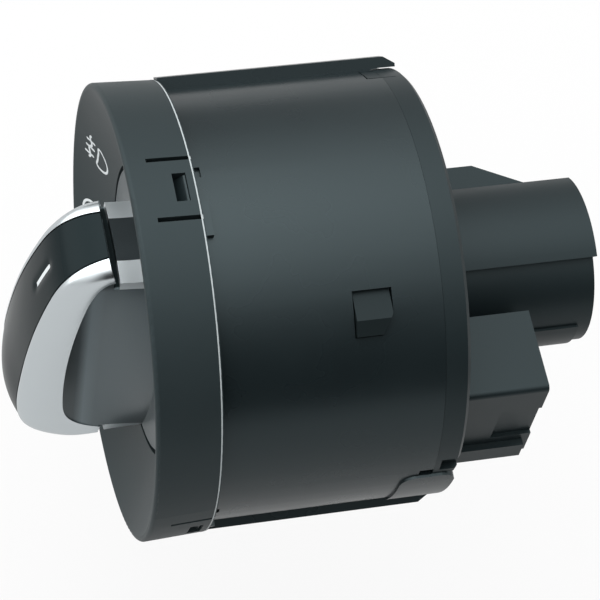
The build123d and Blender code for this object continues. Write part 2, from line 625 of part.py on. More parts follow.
# Rotor: bearing nose, detent flange, hollow body for the shaft's spring, wiper carrier
with BuildPart() as rotor:
    nose = BEARING_R - RUNNING
    tube((NOSE_BORE, nose), (ROTOR_FRONT, ROTOR_FLANGE_Y + JOIN))
    tube((NOSE_BORE, ROTOR_FLANGE_R), (ROTOR_FLANGE_Y, ROTOR_FLANGE_Y + ROTOR_FLANGE_T))
    tube((ROTOR_BORE, ROTOR_R), (ROTOR_FLANGE_Y + ROTOR_FLANGE_T - JOIN, CARRIER_BACK))
    tube((ROTOR_BORE, CARRIER_R), (CARRIER_BACK - CARRIER_T, CARRIER_BACK))
    half = SHAFT_SIDE / 2 + RUNNING
    block(Plane.XY, (-half, half), (ROTOR_FRONT - JOIN, CARRIER_BACK), (-half, half), Mode.SUBTRACT)
    rod(0, 0, ROTOR_BORE, (SPRING_ROOM, CARRIER_BACK), Mode.SUBTRACT)
    for side in (-DETENT_R, DETENT_R):
        rod(0, side, BALL_R + SLIDING, (ROTOR_FLANGE_Y - JOIN, ROTOR_FLANGE_Y + BALL_POCKET), Mode.SUBTRACT)
keep("rotor", rotor.part)

with BuildPart() as rotor_end_cap:
    tube((CAP_BORE, ROTOR_R), (CARRIER_BACK, CARRIER_BACK + CAP_T))
keep("rotor_end_cap", rotor_end_cap.part)

with BuildPart() as wiper_contacts:
    for side in (90.0, 270.0):
        for r in TRACK_R:
            a = radians(side)
            leaf = Plane(origin=(r * sin(a), CARRIER_BACK, r * cos(a)), x_dir=(cos(a), 0, -sin(a)),
                         z_dir=(sin(a), 0, cos(a)))
            reach = WIPER_GAP - RUNNING
            prism(leaf, [(WIPER_FOOT[0], 0), (WIPER_FOOT[1], 0), (WIPER_FOOT[1], WIPER_T),
                         (WIPER_FOOT[0] + 2 * WIPER_T, WIPER_T), (WIPER_CREST[0], reach - WIPER_T),
                         (WIPER_CREST[1], reach - WIPER_T), (WIPER_TIP[0], reach - WIPER_DIP),
                         (WIPER_TIP[1], reach - WIPER_DIP + WIPER_T), (WIPER_CREST[1], reach),
                         (WIPER_CREST[0] - WIPER_T, reach), (WIPER_FOOT[0], WIPER_T)], WIPER_W / 2)
        block(radial(side), (WIPER_FOOT[0], WIPER_FOOT[0] + 2 * WIPER_T), (CARRIER_BACK, CARRIER_BACK + WIPER_T),
              TRACK_R)
keep("wiper_contacts", wiper_contacts.part)

# Detent: notched ring on the bulkhead, two balls and two springs in the rotor's flange
RING_BACK = BULKHEAD_BACK + DETENT_RING_T
BALL_Y = RING_BACK + RUNNING + BALL_R
with BuildPart() as detent_ring:
    ring_bore = BEARING_R + BEARING_WALL + LOOSE
    tube((ring_bore, ring_bore + DETENT_RING_W), (BULKHEAD_BACK, RING_BACK))
    for click in [c + turn for turn in (0.0, 180.0) for c in CLICKS]:
        a = radians(click)
        with Locations(Location((DETENT_R * sin(a), BALL_Y - BALL_R / 2, DETENT_R * cos(a)))):
            Sphere(BALL_R + SLIDING, mode=Mode.SUBTRACT)
keep("detent_ring", detent_ring.part)

for name, side in (("upper", DETENT_R), ("lower", -DETENT_R)):
    with BuildPart() as detent_ball:
        with Locations(Location((0, BALL_Y, side))):
            Sphere(BALL_R)
    keep(f"{name}_detent_ball", detent_ball.part)
    ball_back = BALL_Y + BALL_R
    seat = Plane(origin=(0, ball_back, side), x_dir=(1, 0, 0), z_dir=(0, 1, 0))
    room = ROTOR_FLANGE_Y + BALL_POCKET - ball_back
    keep(f"{name}_detent_spring", coil(seat, DETENT_SPRING_R, DETENT_SPRING_WIRE, room, 2))

# Locking catches in the barrel's side windows, each on its spring
for name, angle in zip(("upper", "lower"), CATCHES):
    a = radians(angle)
    with BuildPart() as catch:
        half = CATCH_W / 2 - RUNNING
        deep = CATCH_L / 2 - RUNNING
        block(radial(angle, 0, CATCH_Y), (-half, half), (-deep, deep), CATCH_R)
        with BuildSketch(radial(angle, CATCH_R[1] - JOIN, CATCH_Y)) as head_outline:
            with BuildLine():
                Polyline(*CATCH_WINDOW, close=True)
            make_face()
            offset(amount=-2 * SLIDING, kind=Kind.INTERSECTION)
        extrude(head_outline.sketch, amount=BARREL_WALL + CATCH_RISE * 2)
        across = Plane(origin=(0, CATCH_Y, 0), x_dir=(cos(a), 0, -sin(a)), z_dir=(0, 1, 0))
        top = BARREL_R + CATCH_RISE
        prism(across, [(-CATCH_W, -top * 2), (-CATCH_W, -BARREL_IN + 2 * LOOSE), (CATCH_FLAT, -top),
                       (CATCH_W, -top + CATCH_RISE + CATCH_FALL), (CATCH_W, -top * 2)], CATCH_L, Mode.SUBTRACT)
        with Locations(radial(angle, CATCH_R[0], CATCH_Y).location):
            Cylinder(CATCH_SPRING_R + CATCH_SPRING_WIRE + LOOSE, CATCH_DEPTH, mode=Mode.SUBTRACT)
    keep(f"{name}_catch", catch.part)
    room = CATCH_R[0] + CATCH_DEPTH / 2 - POCKET_R
    keep(f"{name}_catch_spring", coil(radial(angle, POCKET_R, CATCH_Y), CATCH_SPRING_R, CATCH_SPRING_WIRE, room,
                                      CATCH_SPRING_TURNS))

# Dial lighting: clear guide behind the dish, lamp board on the bulkhead, lamps
with BuildPart() as light_guide:
    inner = BORE_R + BORE_WALL + SLIDING
    outer = BARREL_IN - GUIDE_GAP
    slope = (DISH_DEPTH - DISH_HOLLOW) / (RIM_R - RIM_LAND - BORE_R)
    front = DISH_Y + DISH_WALL + GUIDE_GAP
    turned([(inner, front), (outer, front - slope * (outer - inner)), (outer, BORE_END + SLIDING * 2),
            (inner, BORE_END + SLIDING * 2)])
keep("light_guide", light_guide.part)

with BuildPart() as lamp_board:
    tube((BARREL_IN - LOOSE - LAMP_BOARD_W, BARREL_IN - LOOSE), (BULKHEAD - LAMP_BOARD_T, BULKHEAD))
keep("lamp_board", lamp_board.part)

with BuildPart() as dial_lamps:
    lamp_r = BARREL_IN - LOOSE - LAMP_BOARD_W / 2
    for spot in LAMPS:
        block(radial(spot), (-LAMP_SIDE / 2, LAMP_SIDE / 2),
              (BULKHEAD - LAMP_BOARD_T - LAMP_H, BULKHEAD - LAMP_BOARD_T),
              (lamp_r - LAMP_SIDE / 2, lamp_r + LAMP_SIDE / 2))
keep("dial_lamps", dial_lamps.part)

# Knob: tapered, crowned grip bar with concave flanks on a round disc
GROOVE_BACK = DISH_Y - GROOVE_H
GROOVE_FRONT = GROOVE_BACK - GROOVE_W


def side_view(shares, crown=0.0):
    """(depth, Z) points of a side view given as shares; a crown lifts it where it is high."""
    return [(GROOVE_FRONT - GRIP_H * high - crown * min(1.0, 3 * high), GRIP_R * along) for along, high in shares]


def between(first, second, share):
    return [tuple(a + (b - a) * share for a, b in zip(p, q)) for p, q in zip(first, second)]


def inset(points, gap):
    """The same side view, moved inwards."""
    moved = [(points[0][0], points[0][1] - gap)]
    for before, (y, z), after in zip(points, points[1:], points[2:]):
        dy = after[0] - before[0]
        dz = after[1] - before[1]
        size = sqrt(dy * dy + dz * dz)
        moved.append((y - dz / size * gap, z + dy / size * gap))
    return moved + [(points[-1][0], points[-1][1] + gap)]


def grip_face(points, half, taper):
    """Side view as a face on the upright plane x = half - taper * z."""
    with BuildSketch(Plane(origin=(half, 0, 0), x_dir=(0, 1, 0), z_dir=(1, 0, taper))) as face:
        with BuildLine():
            curve = Spline(*[(y, z * sqrt(1 + taper ** 2)) for y, z in points])
            Line(curve @ 1, curve @ 0)
        make_face()
    return face.sketch.faces()[0]


def corner(radius, sign):
    """Where a flank meets a circle about the axis."""
    root = sqrt(radius ** 2 * (1 + GRIP_TAPER ** 2) - GRIP_HALF ** 2)
    z = (GRIP_HALF * GRIP_TAPER + sign * root) / (1 + GRIP_TAPER ** 2)
    return (GRIP_HALF - GRIP_TAPER * z, z)


def plan_view(height, middle, flare):
    """Plan of the grip's lower part at a height above the dish, with bowed flanks."""
    radius = DISC_R + flare
    tip = corner(radius, 1)
    tail = corner(radius, -1)
    with BuildSketch(axial(DISH_Y - height)) as face:
        with BuildLine():
            ThreePointArc((tip[0], -tip[1]), (middle, 0), (tail[0], -tail[1]))
            ThreePointArc((tail[0], -tail[1]), (0, radius), (-tail[0], -tail[1]))
            ThreePointArc((-tail[0], -tail[1]), (-middle, 0), (-tip[0], -tip[1]))
            ThreePointArc((-tip[0], -tip[1]), (0, -radius), (tip[0], -tip[1]))
        make_face()
    return face.sketch.faces()[0]


crest = side_view(INLAY_EDGE)
rim = side_view(TRIM_FRONT + GRIP_TAIL)
with BuildPart() as grip_middle:
    loft([grip_face(crest, -INLAY_HALF, -INLAY_TAPER), grip_face(side_view(INLAY_EDGE, CROWN), 0, 0),
          grip_face(crest, INLAY_HALF, INLAY_TAPER)])
with BuildPart() as grip_sides:
    for side in (1, -1):
        strips = []
        for step in GRIP_STEPS:
            out = sin(radians(step)) ** (2 / GRIP_SQUARE)
            down = 1 - cos(radians(step)) ** (2 / GRIP_SQUARE)
            half = INLAY_HALF + (GRIP_HALF - INLAY_HALF) * out
            taper = INLAY_TAPER + (GRIP_TAPER - INLAY_TAPER) * out
            strips.append(grip_face(between(crest, rim, down), side * half, side * taper))
        loft(strips, ruled=True)
core_crest = inset(crest, TRIM_T)
core_rim = inset(rim, TRIM_T)
core_half = GRIP_HALF - TRIM_SIDE
with BuildPart() as grip_core:
    loft([grip_face(core_crest, -INLAY_HALF, -INLAY_TAPER), grip_face(core_crest, INLAY_HALF, INLAY_TAPER)],
         ruled=True)
    for side in (1, -1):
        loft([grip_face(core_crest, side * INLAY_HALF, side * INLAY_TAPER),
              grip_face(core_rim, side * core_half, side * GRIP_TAPER)], ruled=True)
with BuildPart() as grip_base:
    loft([plan_view(*level) for level in FLANK])

# Everything in front of the trim's lower edge
with BuildPart() as trim_zone:
    reach = GRIP_R + END_TRIM_DEPTH
    with BuildSketch(Plane.YZ) as zone:
        with BuildLine():
            edge = Spline(*[(y + TRIM_LAP, z) for y, z in side_view(TRIM_FRONT + TRIM_TAIL)][1:-1])
            Polyline(edge @ 1, (GROOVE_FRONT, side_view(TRIM_TAIL)[-1][1]), (GROOVE_FRONT, -reach),
                     (GROOVE_FRONT - GRIP_H * 2, -reach), (GROOVE_FRONT - GRIP_H * 2, reach), (GROOVE_FRONT, reach),
                     (GROOVE_FRONT, side_view(TRIM_FRONT)[0][1]), edge @ 0)
        make_face()
    extrude(zone.sketch, amount=GRIP_R, both=True)

with BuildPart() as pointer_zone:
    block(Plane.XY, (-POINTER_W / 2, POINTER_W / 2), (GROOVE_FRONT - GRIP_H * 2, GROOVE_FRONT),
          (POINTER_AT - POINTER_L / 2, POINTER_AT + POINTER_L / 2))

with BuildPart() as core_front:
    add(grip_core.part)
    add(trim_zone.part, mode=Mode.INTERSECT)

with BuildPart() as inlay_blank:
    add(grip_middle.part)
    add(trim_zone.part, mode=Mode.INTERSECT)
    add(grip_core.part, mode=Mode.SUBTRACT)

with BuildPart() as knob_inlay:
    add(inlay_blank.part)
    add(pointer_zone.part, mode=Mode.SUBTRACT)
keep("knob_inlay", knob_inlay.part)

with BuildPart() as pointer_line:
    add(inlay_blank.part)
    add(pointer_zone.part, mode=Mode.INTERSECT)
keep("pointer_line", pointer_line.part)

# Two strips beside the inlay, tied together through the body
with BuildPart() as trim_ties:
    tie_back = GROOVE_FRONT - TIE_RISE
    for side, bite in zip((1, -1), TIE_BITE):
        tie_at = side * (GRIP_R - TIE_INSET)
        block(Plane.XY, (bite - GRIP_HALF, GRIP_HALF - bite), (tie_back - TIE_T, tie_back),
              (tie_at - TIE_T / 2, tie_at + TIE_T / 2))

with BuildPart() as knob_trim:
    add(grip_sides.part)
    add(trim_zone.part, mode=Mode.INTERSECT)
    add(grip_core.part, mode=Mode.SUBTRACT)
    add(trim_ties.part)
keep("knob_trim", knob_trim.part)

# Metal trim on the grip's end walls, below the groove
end_trims = []
foot_y = DISH_Y - END_TRIM_FOOT
for name, sign, leg in (("pointer_end_trim", 1, END_TRIM_LEG), ("tail_end_trim", -1, TAIL_TRIM_LEG)):
    x, z = corner(DISC_R, sign)
    with BuildPart() as end_trim:
        add(grip_base.part)
        block(Plane.XY, (-GRIP_R, GRIP_R), (GROOVE_BACK, DISH_Y), (z - sign * END_TRIM_DEPTH, sign * GRIP_R * 2),
              Mode.INTERSECT)
        block(Plane.XY, (-x + leg, x - leg), (GROOVE_BACK - GROOVE_W, foot_y),
              (z - sign * END_TRIM_DEPTH * 2, sign * GRIP_R * 2), Mode.SUBTRACT)
    end_trims.append(end_trim.part)
    keep(name, end_trim.part)

with BuildPart() as knob_body:
    add(grip_base.part)
    add(trim_zone.part, mode=Mode.SUBTRACT)
    add(core_front.part)
    add(trim_ties.part, mode=Mode.SUBTRACT)
    tube((DISC_R - GROOVE_DEPTH, GRIP_R * 2), (GROOVE_FRONT, GROOVE_BACK), Mode.SUBTRACT)
    turned([(0, DISH_Y), (DISC_R - DISC_ROUND, DISH_Y), (DISC_R, DISH_Y + DISC_ROUND), (DISC_R, DISC_BACK),
            (0, DISC_BACK)])
    for side in (-1, 1):
        block(Plane.XY, (-HOLLOW_W / 2, HOLLOW_W / 2), (GROOVE_FRONT - GRIP_H + HOLLOW_CAP, DISC_BACK + JOIN),
              (side * HOLLOW_AT - HOLLOW_L / 2, side * HOLLOW_AT + HOLLOW_L / 2), Mode.SUBTRACT)
    rod(0, 0, SHAFT_PEG_R + RUNNING, (DISC_BACK - SHAFT_PEG_L - LOOSE, DISC_BACK + JOIN), Mode.SUBTRACT)
    for piece in end_trims:
        add(piece, mode=Mode.SUBTRACT)
keep("knob_body", knob_body.part)

# Square shaft with its flange and peg, retaining clip and spring
with BuildPart() as knob_shaft:
    tube((0, SHAFT_FLANGE_R), (DISC_BACK, SHAFT_FLANGE_BACK))
    rod(0, 0, SHAFT_PEG_R, (DISC_BACK - SHAFT_PEG_L, DISC_BACK + JOIN))
    half = SHAFT_SIDE / 2
    block(Plane.XY, (-half, half), (SHAFT_FLANGE_BACK - JOIN, SHAFT_END), (-half, half))
    for side in (-1, 1):
        block(Plane.XY, (-half - JOIN, half + JOIN), (CLIP_Y[0] - RUNNING, CLIP_Y[1] + RUNNING),
              (side * CLIP_SLOT / 2, side * (half + JOIN)), Mode.SUBTRACT)
keep("knob_shaft", knob_shaft.part)

with BuildPart() as shaft_clip:
    tube((SHAFT_PEG_R, CLIP_R), CLIP_Y)
    neck = CLIP_SLOT / 2 + RUNNING / 2
    block(Plane.XY, (-CLIP_R * 2, half + RUNNING), (CLIP_Y[0] - JOIN, CLIP_Y[1] + JOIN), (-neck, neck),
          Mode.SUBTRACT)
keep("shaft_clip", shaft_clip.part)

spring_seat = Plane(origin=(0, CLIP_Y[1] + LOOSE, 0), x_dir=(1, 0, 0), z_dir=(0, 1, 0))
room = CARRIER_BACK - CLIP_Y[1] - LOOSE
keep("shaft_spring", coil(spring_seat, SHAFT_SPRING_R, SHAFT_SPRING_WIRE, room, SHAFT_SPRING_TURNS))
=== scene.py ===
# %% [markdown]
# # A headlight switch, dressed for its portrait
# The switch sits in a dashboard: a round dial with a bar grip that turns and pulls, a barrel
# behind the dash, and two sockets at the rear. Its solids come from CAD. They have the right
# sizes and ride on the right joints, so they are used as they are. This lesson adds what solids
# can't say: the camera, the studio, the finishes, and the few skins and prints whose curves are
# finer than the solids'.

import math

import bpy
import numpy as np
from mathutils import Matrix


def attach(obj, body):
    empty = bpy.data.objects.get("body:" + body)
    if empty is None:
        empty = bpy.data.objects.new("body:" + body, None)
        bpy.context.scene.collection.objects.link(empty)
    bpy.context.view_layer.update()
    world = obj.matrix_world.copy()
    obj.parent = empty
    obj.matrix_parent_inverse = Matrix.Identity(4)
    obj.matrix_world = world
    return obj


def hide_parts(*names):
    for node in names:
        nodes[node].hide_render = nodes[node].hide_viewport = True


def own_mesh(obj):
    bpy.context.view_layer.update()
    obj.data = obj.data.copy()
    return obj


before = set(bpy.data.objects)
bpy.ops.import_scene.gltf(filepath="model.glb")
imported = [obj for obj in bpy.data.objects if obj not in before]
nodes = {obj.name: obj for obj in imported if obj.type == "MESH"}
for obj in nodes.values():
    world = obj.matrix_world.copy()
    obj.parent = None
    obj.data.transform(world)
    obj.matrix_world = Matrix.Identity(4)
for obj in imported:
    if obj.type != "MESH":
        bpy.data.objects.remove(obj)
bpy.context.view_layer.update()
MM = 0.001

# %% [markdown]
# ## Where the photographer stood
# The dial's rim, the barrel's edges and the collar are all circles, and each shows as an
# ellipse. One camera that draws all of those ellipses at once gives the distance, the lens and
# the tilt. A camera can also be turned by eye until it looks right, but a few degrees are easily
# missed that way, and then no length taken from the picture can be trusted.

# %% The view that fits the ellipses
picture_turn = math.radians(61.25)
camera_distance = 0.46029
camera_clock = 1.403837
camera_yaw = -0.046052
camera_pitch = -0.003014
camera_roll = 0.112660
focal_in_pixels = 2703.8
picture_side = 600
sensor_mm = 36.0
view_width = 2 * math.degrees(math.atan(picture_side / 2 / focal_in_pixels))
print("a camera", round(camera_distance, 3), "m away that sees", round(view_width, 1), "degrees")

# %% [markdown]
# ## Two sets of axes
# The switch lies on its side in the picture, turned about its own axis, but its joints keep the
# axes in which it is installed. So the camera is worked out in upright picture axes, and then
# turned back into the switch's own. To turn the switch instead would be as easy, but then every
# joint would be in the wrong place.

# %% Turning vectors


def turn_about(v, axis, angle):
    """Turned v = v cos(angle) + axis x v sin(angle) + axis (axis . v)(1 - cos(angle))."""
    along = axis * np.dot(axis, v) * (1 - math.cos(angle))
    return v * math.cos(angle) + np.cross(axis, v) * math.sin(angle) + along


def picture_to_part(v):
    """Turns picture axes (x to the lens, y along the switch, z up) into the part's axes."""
    x, y, z = np.moveaxis(np.asarray(v, float), -1, 0)
    c, s = math.cos(picture_turn), math.sin(picture_turn)
    return np.stack([x * c - z * s, y, x * s + z * c], -1)


toward_lens = picture_to_part([1.0, 0.0, 0.0])
picture_up = picture_to_part([0.0, 0.0, 1.0])
print("the lens is along", np.round(toward_lens, 3), "and picture up is", np.round(picture_up, 3))

# %% The camera
place = camera_distance * np.array([math.sin(camera_clock), -math.cos(camera_clock), 0.0])
ahead = -place / np.linalg.norm(place)
upward = np.array([0.0, 0.0, 1.0])
aside = np.cross(ahead, upward)
aside /= np.linalg.norm(aside)
ahead, aside = turn_about(ahead, upward, camera_yaw), turn_about(aside, upward, camera_yaw)
ahead, upward = turn_about(ahead, aside, camera_pitch), turn_about(upward, aside, camera_pitch)
aside, upward = turn_about(aside, ahead, camera_roll), turn_about(upward, ahead, camera_roll)

lens = bpy.data.cameras.new("photo_lens")
lens.sensor_width = sensor_mm
lens.lens = focal_in_pixels / picture_side * sensor_mm
lens.clip_start = 0.01
camera = bpy.data.objects.new("photo_camera", lens)
bpy.context.collection.objects.link(camera)
pose = np.eye(4)
pose[:3, 0] = picture_to_part(aside)
pose[:3, 1] = picture_to_part(upward)
pose[:3, 2] = -picture_to_part(ahead)
pose[:3, 3] = picture_to_part(place)
camera.matrix_world = pose.T.tolist()
bpy.context.scene.camera = camera
bpy.context.scene.view_settings.view_transform = "Standard"
print("lens", round(lens.lens, 1), "mm, standing at", np.round(pose[:3, 3], 3))

# %% [markdown]
# ## The studio
# Dark plastic shows little colour of its own: nearly all that the eye sees on it is the room.
# The barrel is a long cylinder, so it works like a rolled-out picture of the light round it:
# a bright softbox above, a dark card below the lens, and a pale table under it all. Area lamps
# could stand for these, but each would draw a hard stripe along the barrel. So the world is lit
# by smooth ramps of the angle round the switch, and that angle is worked out first.

# %% Angle round the switch


def link(tree, *pairs):
    """Joins the output to the input in each pair."""
    for source, target in pairs:
        tree.links.new(source, target)


def add_node(tree, kind, **values):
    """A node of that kind, with its settings, and its inputs where the name is an input's."""
    node = tree.nodes.new(kind)
    for key, value in values.items():
        if hasattr(node, key):
            setattr(node, key, value)
        else:
            node.inputs[key.replace("_", " ")].default_value = value
    return node


world = bpy.data.worlds.new("studio")
world.use_nodes = True
bpy.context.scene.world = world
sky = world.node_tree
sky.nodes.clear()
direction = add_node(sky, "ShaderNodeTexCoord")
shares = []
for axis in (picture_up, toward_lens, (0.0, 1.0, 0.0)):
    dot = add_node(sky, "ShaderNodeVectorMath", operation="DOT_PRODUCT")
    dot.inputs[1].default_value = axis
    link(sky, (direction.outputs["Generated"], dot.inputs[0]))
    shares.append(dot.outputs["Value"])
up_share, lens_share, along_share = shares
turn = add_node(sky, "ShaderNodeMath", operation="ARCTAN2")
span = add_node(sky, "ShaderNodeMapRange", From_Min=-math.pi, From_Max=math.pi)
link(
    sky,
    (up_share, turn.inputs[0]),
    (lens_share, turn.inputs[1]),
    (turn.outputs[0], span.inputs[0]),
)
print("the world now knows its angle round the switch, with", len(sky.nodes), "nodes")

# %% [markdown]
# ## How bright each way is
# The barrel mirrors what stands beside it, the dial looks at what stands before it, and the
# sockets at the wall behind, so there are three ramps. Each gives a brightness at some angles
# round the switch: 0 is the lens, 90 is up in the picture, and -90 is down. Such numbers can be
# guessed and tried. These come from lighting the switch by one narrow band at a time, and then
# asking how much of each band, added up, gives the tones of the picture.

# %% Three ramps of light
ramp_top = 4.0
room_light = {
    "beside": {
        -180: 0.0, -110: 0.0, -75: 0.0, -58: 0.0, -45: 0.0, -30: 0.0, -14: 0.31, 2: 1.64,
        18: 2.9, 34: 3.61, 50: 3.79, 66: 2.93, 82: 1.48, 100: 0.46, 130: 0.07,
    },
    "before": {
        -180: 0.9, -145: 0.65, -115: 0.49, -85: 0.46, -55: 0.6, -25: 1.01, 0: 1.68, 25: 2.35,
        50: 2.68, 80: 2.39, 112: 1.76, 146: 1.27,
    },
    "behind": {
        -180: 0.16, -90: 0.0, -40: 0.01, 0: 0.76, 40: 1.23, 90: 0.84, 135: 0.44,
    },
}


def angle_ramp(light_at):
    """Brightness against the angle round the switch, joined up again at 180 degrees."""
    ramp = add_node(sky, "ShaderNodeValToRGB")
    stops = ramp.color_ramp
    angles, lights = zip(*sorted(light_at.items()), (180, light_at[-180]))
    while len(stops.elements) < len(angles):
        stops.elements.new(0.5)
    for stop, angle in zip(stops.elements, angles):
        stop.position = angle / 360 + 0.5
    for stop, light in zip(stops.elements, lights):
        stop.color = (*[light / ramp_top] * 3, 1)
    link(sky, (span.outputs[0], ramp.inputs[0]))
    return ramp.outputs["Color"]


beside, before, behind = (angle_ramp(light_at) for light_at in room_light.values())
for name, light_at in room_light.items():
    brightest = max(light_at, key=light_at.get)
    print("brightest", name, "at", brightest, "degrees:", light_at[brightest])

# %% [markdown]
# ## One room out of three ramps
# A hard border between two ramps would show as a step on every rounded edge, so each melts into
# the next, by how much of a direction lies along the switch. The camera's own rays see plain
# white instead, as behind a catalogue picture. That white lights nothing, so the switch keeps
# its tones.

# %% World


def melt(base, other, start, end):
    """Goes from base to the other ramp while the direction's share along Y runs start to end."""
    step = add_node(sky, "ShaderNodeMapRange", interpolation_type="SMOOTHSTEP")
    step.inputs["From Min"].default_value = start
    step.inputs["From Max"].default_value = end
    mix = add_node(sky, "ShaderNodeMix", data_type="RGBA")
    link(
        sky,
        (along_share, step.inputs[0]),
        (step.outputs[0], mix.inputs["Factor"]),
        (base, mix.inputs["A"]),
        (other, mix.inputs["B"]),
    )
    return mix.outputs["Result"]


front_melt, rear_melt = (-0.7, -0.1), (0.05, 0.45)
light_all_round = melt(melt(before, beside, *front_melt), behind, *rear_melt)
room = add_node(sky, "ShaderNodeBackground", Strength=ramp_top)
white = add_node(sky, "ShaderNodeBackground", Strength=1.0, Color=(1, 1, 1, 1))
rays = add_node(sky, "ShaderNodeLightPath")
choose = add_node(sky, "ShaderNodeMixShader")
sky_out = add_node(sky, "ShaderNodeOutputWorld")
link(
    sky,
    (light_all_round, room.inputs["Color"]),
    (rays.outputs["Is Camera Ray"], choose.inputs[0]),
    (room.outputs[0], choose.inputs[1]),
    (white.outputs[0], choose.inputs[2]),
    (choose.outputs[0], sky_out.inputs["Surface"]),
)
print("the world has", len(sky.nodes), "nodes and", len(sky.links), "links")

# %% [markdown]
# ## The table top
# The switch lies over a wide white sweep. A floor that is simply painted white would throw too
# much light up into the dark plastic, and one that only glows would show no shadow. So there
# are two floors in one: most rays meet grey card, and the camera's rays, and those that come
# through clear plastic, meet a white glow mixed with chalk, which keeps a soft shadow.

# %% Table top
floor_height = -0.13
floor_half = 3.0
card_grey = (0.42, 0.42, 0.42, 1)
chalk_white = (0.61, 0.61, 0.61, 1)
glow_share = 0.7

corners = np.array([(-1, -1), (1, -1), (1, 1), (-1, 1)], float) * floor_half
floor_mesh = bpy.data.meshes.new("table_top")
floor_mesh.from_pydata([(x, y, floor_height) for x, y in corners], [], [(0, 1, 2, 3)])
table_top = bpy.data.objects.new("table_top", floor_mesh)
bpy.context.collection.objects.link(table_top)
print("table top", 2 * floor_half, "m wide,", -floor_height, "m under the switch's axis")

# %% Two floors in one
paper = bpy.data.materials.new("white_sweep")
paper.use_nodes = True
tree = paper.node_tree
card = tree.nodes["Principled BSDF"]
card.inputs["Base Color"].default_value = card_grey
card.inputs["Roughness"].default_value = 0.9
card.inputs["Specular IOR Level"].default_value = 0.0
glow = add_node(tree, "ShaderNodeEmission", Strength=1.0, Color=(1, 1, 1, 1))
chalk = add_node(tree, "ShaderNodeBsdfDiffuse", Color=chalk_white)
seen = add_node(tree, "ShaderNodeMixShader")
seen.inputs[0].default_value = glow_share
rays = add_node(tree, "ShaderNodeLightPath")
either = add_node(tree, "ShaderNodeMath", operation="MAXIMUM")
blend = add_node(tree, "ShaderNodeMixShader")
link(
    tree,
    (chalk.outputs[0], seen.inputs[1]),
    (glow.outputs[0], seen.inputs[2]),
    (rays.outputs["Is Camera Ray"], either.inputs[0]),
    (rays.outputs["Is Transmission Ray"], either.inputs[1]),
    (either.outputs[0], blend.inputs[0]),
    (card.outputs[0], blend.inputs[1]),
    (seen.outputs[0], blend.inputs[2]),
    (blend.outputs[0], tree.nodes["Material Output"].inputs["Surface"]),
)
floor_mesh.materials.append(paper)
print("the sweep's material has", len(tree.nodes), "nodes")

# %% [markdown]
# ## What all surfaces share
# A mould's steel is never perfectly even: spark erosion leaves a fine grain, and its polish
# drifts from place to place. Plated metal does the same, only finer. A photo of a surface could
# be wrapped on, but noise in the object's own space needs no seams and stays sharp close up. So
# one helper gives each finish its grain as a bump, and a roughness that follows a soft cloud.

# %% Grain and drift
moulded_look = {
    "drift": 0.04, "grain_depth": 0.00003, "grain_scale": 5200.0,
    "cloud_scale": 70.0, "cloud_detail": 3.0,
}
plated_look = {
    "drift": 0.04, "grain_depth": 0.00002, "grain_scale": 4000.0,
    "cloud_scale": 120.0, "cloud_detail": 2.0,
}


def surface(name, roughness, grain, drift, grain_depth, grain_scale, cloud_scale, cloud_detail):
    """Bump = grain noise, roughness = r - drift to r + drift by a cloud of slower noise."""
    material = bpy.data.materials.new(name)
    material.use_nodes = True
    tree = material.node_tree
    shader = tree.nodes["Principled BSDF"]
    spot = add_node(tree, "ShaderNodeTexCoord")
    fine = add_node(tree, "ShaderNodeTexNoise", Scale=grain_scale, Detail=2.0)
    cloud = add_node(tree, "ShaderNodeTexNoise", Scale=cloud_scale, Detail=cloud_detail)
    bump = add_node(tree, "ShaderNodeBump", Strength=grain, Distance=grain_depth)
    bump.name = "grain"
    wander = add_node(tree, "ShaderNodeMapRange")
    wander.inputs["To Min"].default_value = roughness - drift
    wander.inputs["To Max"].default_value = roughness + drift
    link(
        tree,
        (spot.outputs["Object"], fine.inputs["Vector"]),
        (spot.outputs["Object"], cloud.inputs["Vector"]),
        (fine.outputs["Fac"], bump.inputs["Height"]),
        (bump.outputs["Normal"], shader.inputs["Normal"]),
        (cloud.outputs["Fac"], wander.inputs["Value"]),
        (wander.outputs[0], shader.inputs["Roughness"]),
    )
    return material, shader, cloud


for word, look in (("moulded", moulded_look), ("plated", plated_look)):
    print(word, "grain about", round(1 / look["grain_scale"] / MM, 2), "mm coarse")

# %% [markdown]
# ## Moulded plastics
# The housings are dark moulded plastic with a cool cast, and differ mostly in how matt they are.
# One grey for all would look like one block, so the dial, the barrel, the cover and the catches
# each get their own. Their reflections are tinted slightly too: on so dark a plastic, the
# reflection is most of what is seen, and in the picture it is cool.

# %% Plastics and inks
cool = (0.80, 1.0, 1.05)
neutral = (1, 1, 1)
came_with = len(bpy.data.materials)


def moulded(name, colour, roughness, grain=0.15, tint=cool, level=0.5):
    """A surface whose colour goes from 0.88 to 1.12 of its own by the same cloud."""
    material, shader, cloud = surface(name, roughness, grain, **moulded_look)
    shader.inputs["Specular Tint"].default_value = (*tint, 1)
    shader.inputs["Specular IOR Level"].default_value = level
    shade = add_node(material.node_tree, "ShaderNodeMix", data_type="RGBA")
    shade.inputs["A"].default_value = (*[c * 0.88 for c in colour], 1)
    shade.inputs["B"].default_value = (*[c * 1.12 for c in colour], 1)
    link(
        material.node_tree,
        (cloud.outputs["Fac"], shade.inputs["Factor"]),
        (shade.outputs["Result"], shader.inputs["Base Color"]),
    )
    return material


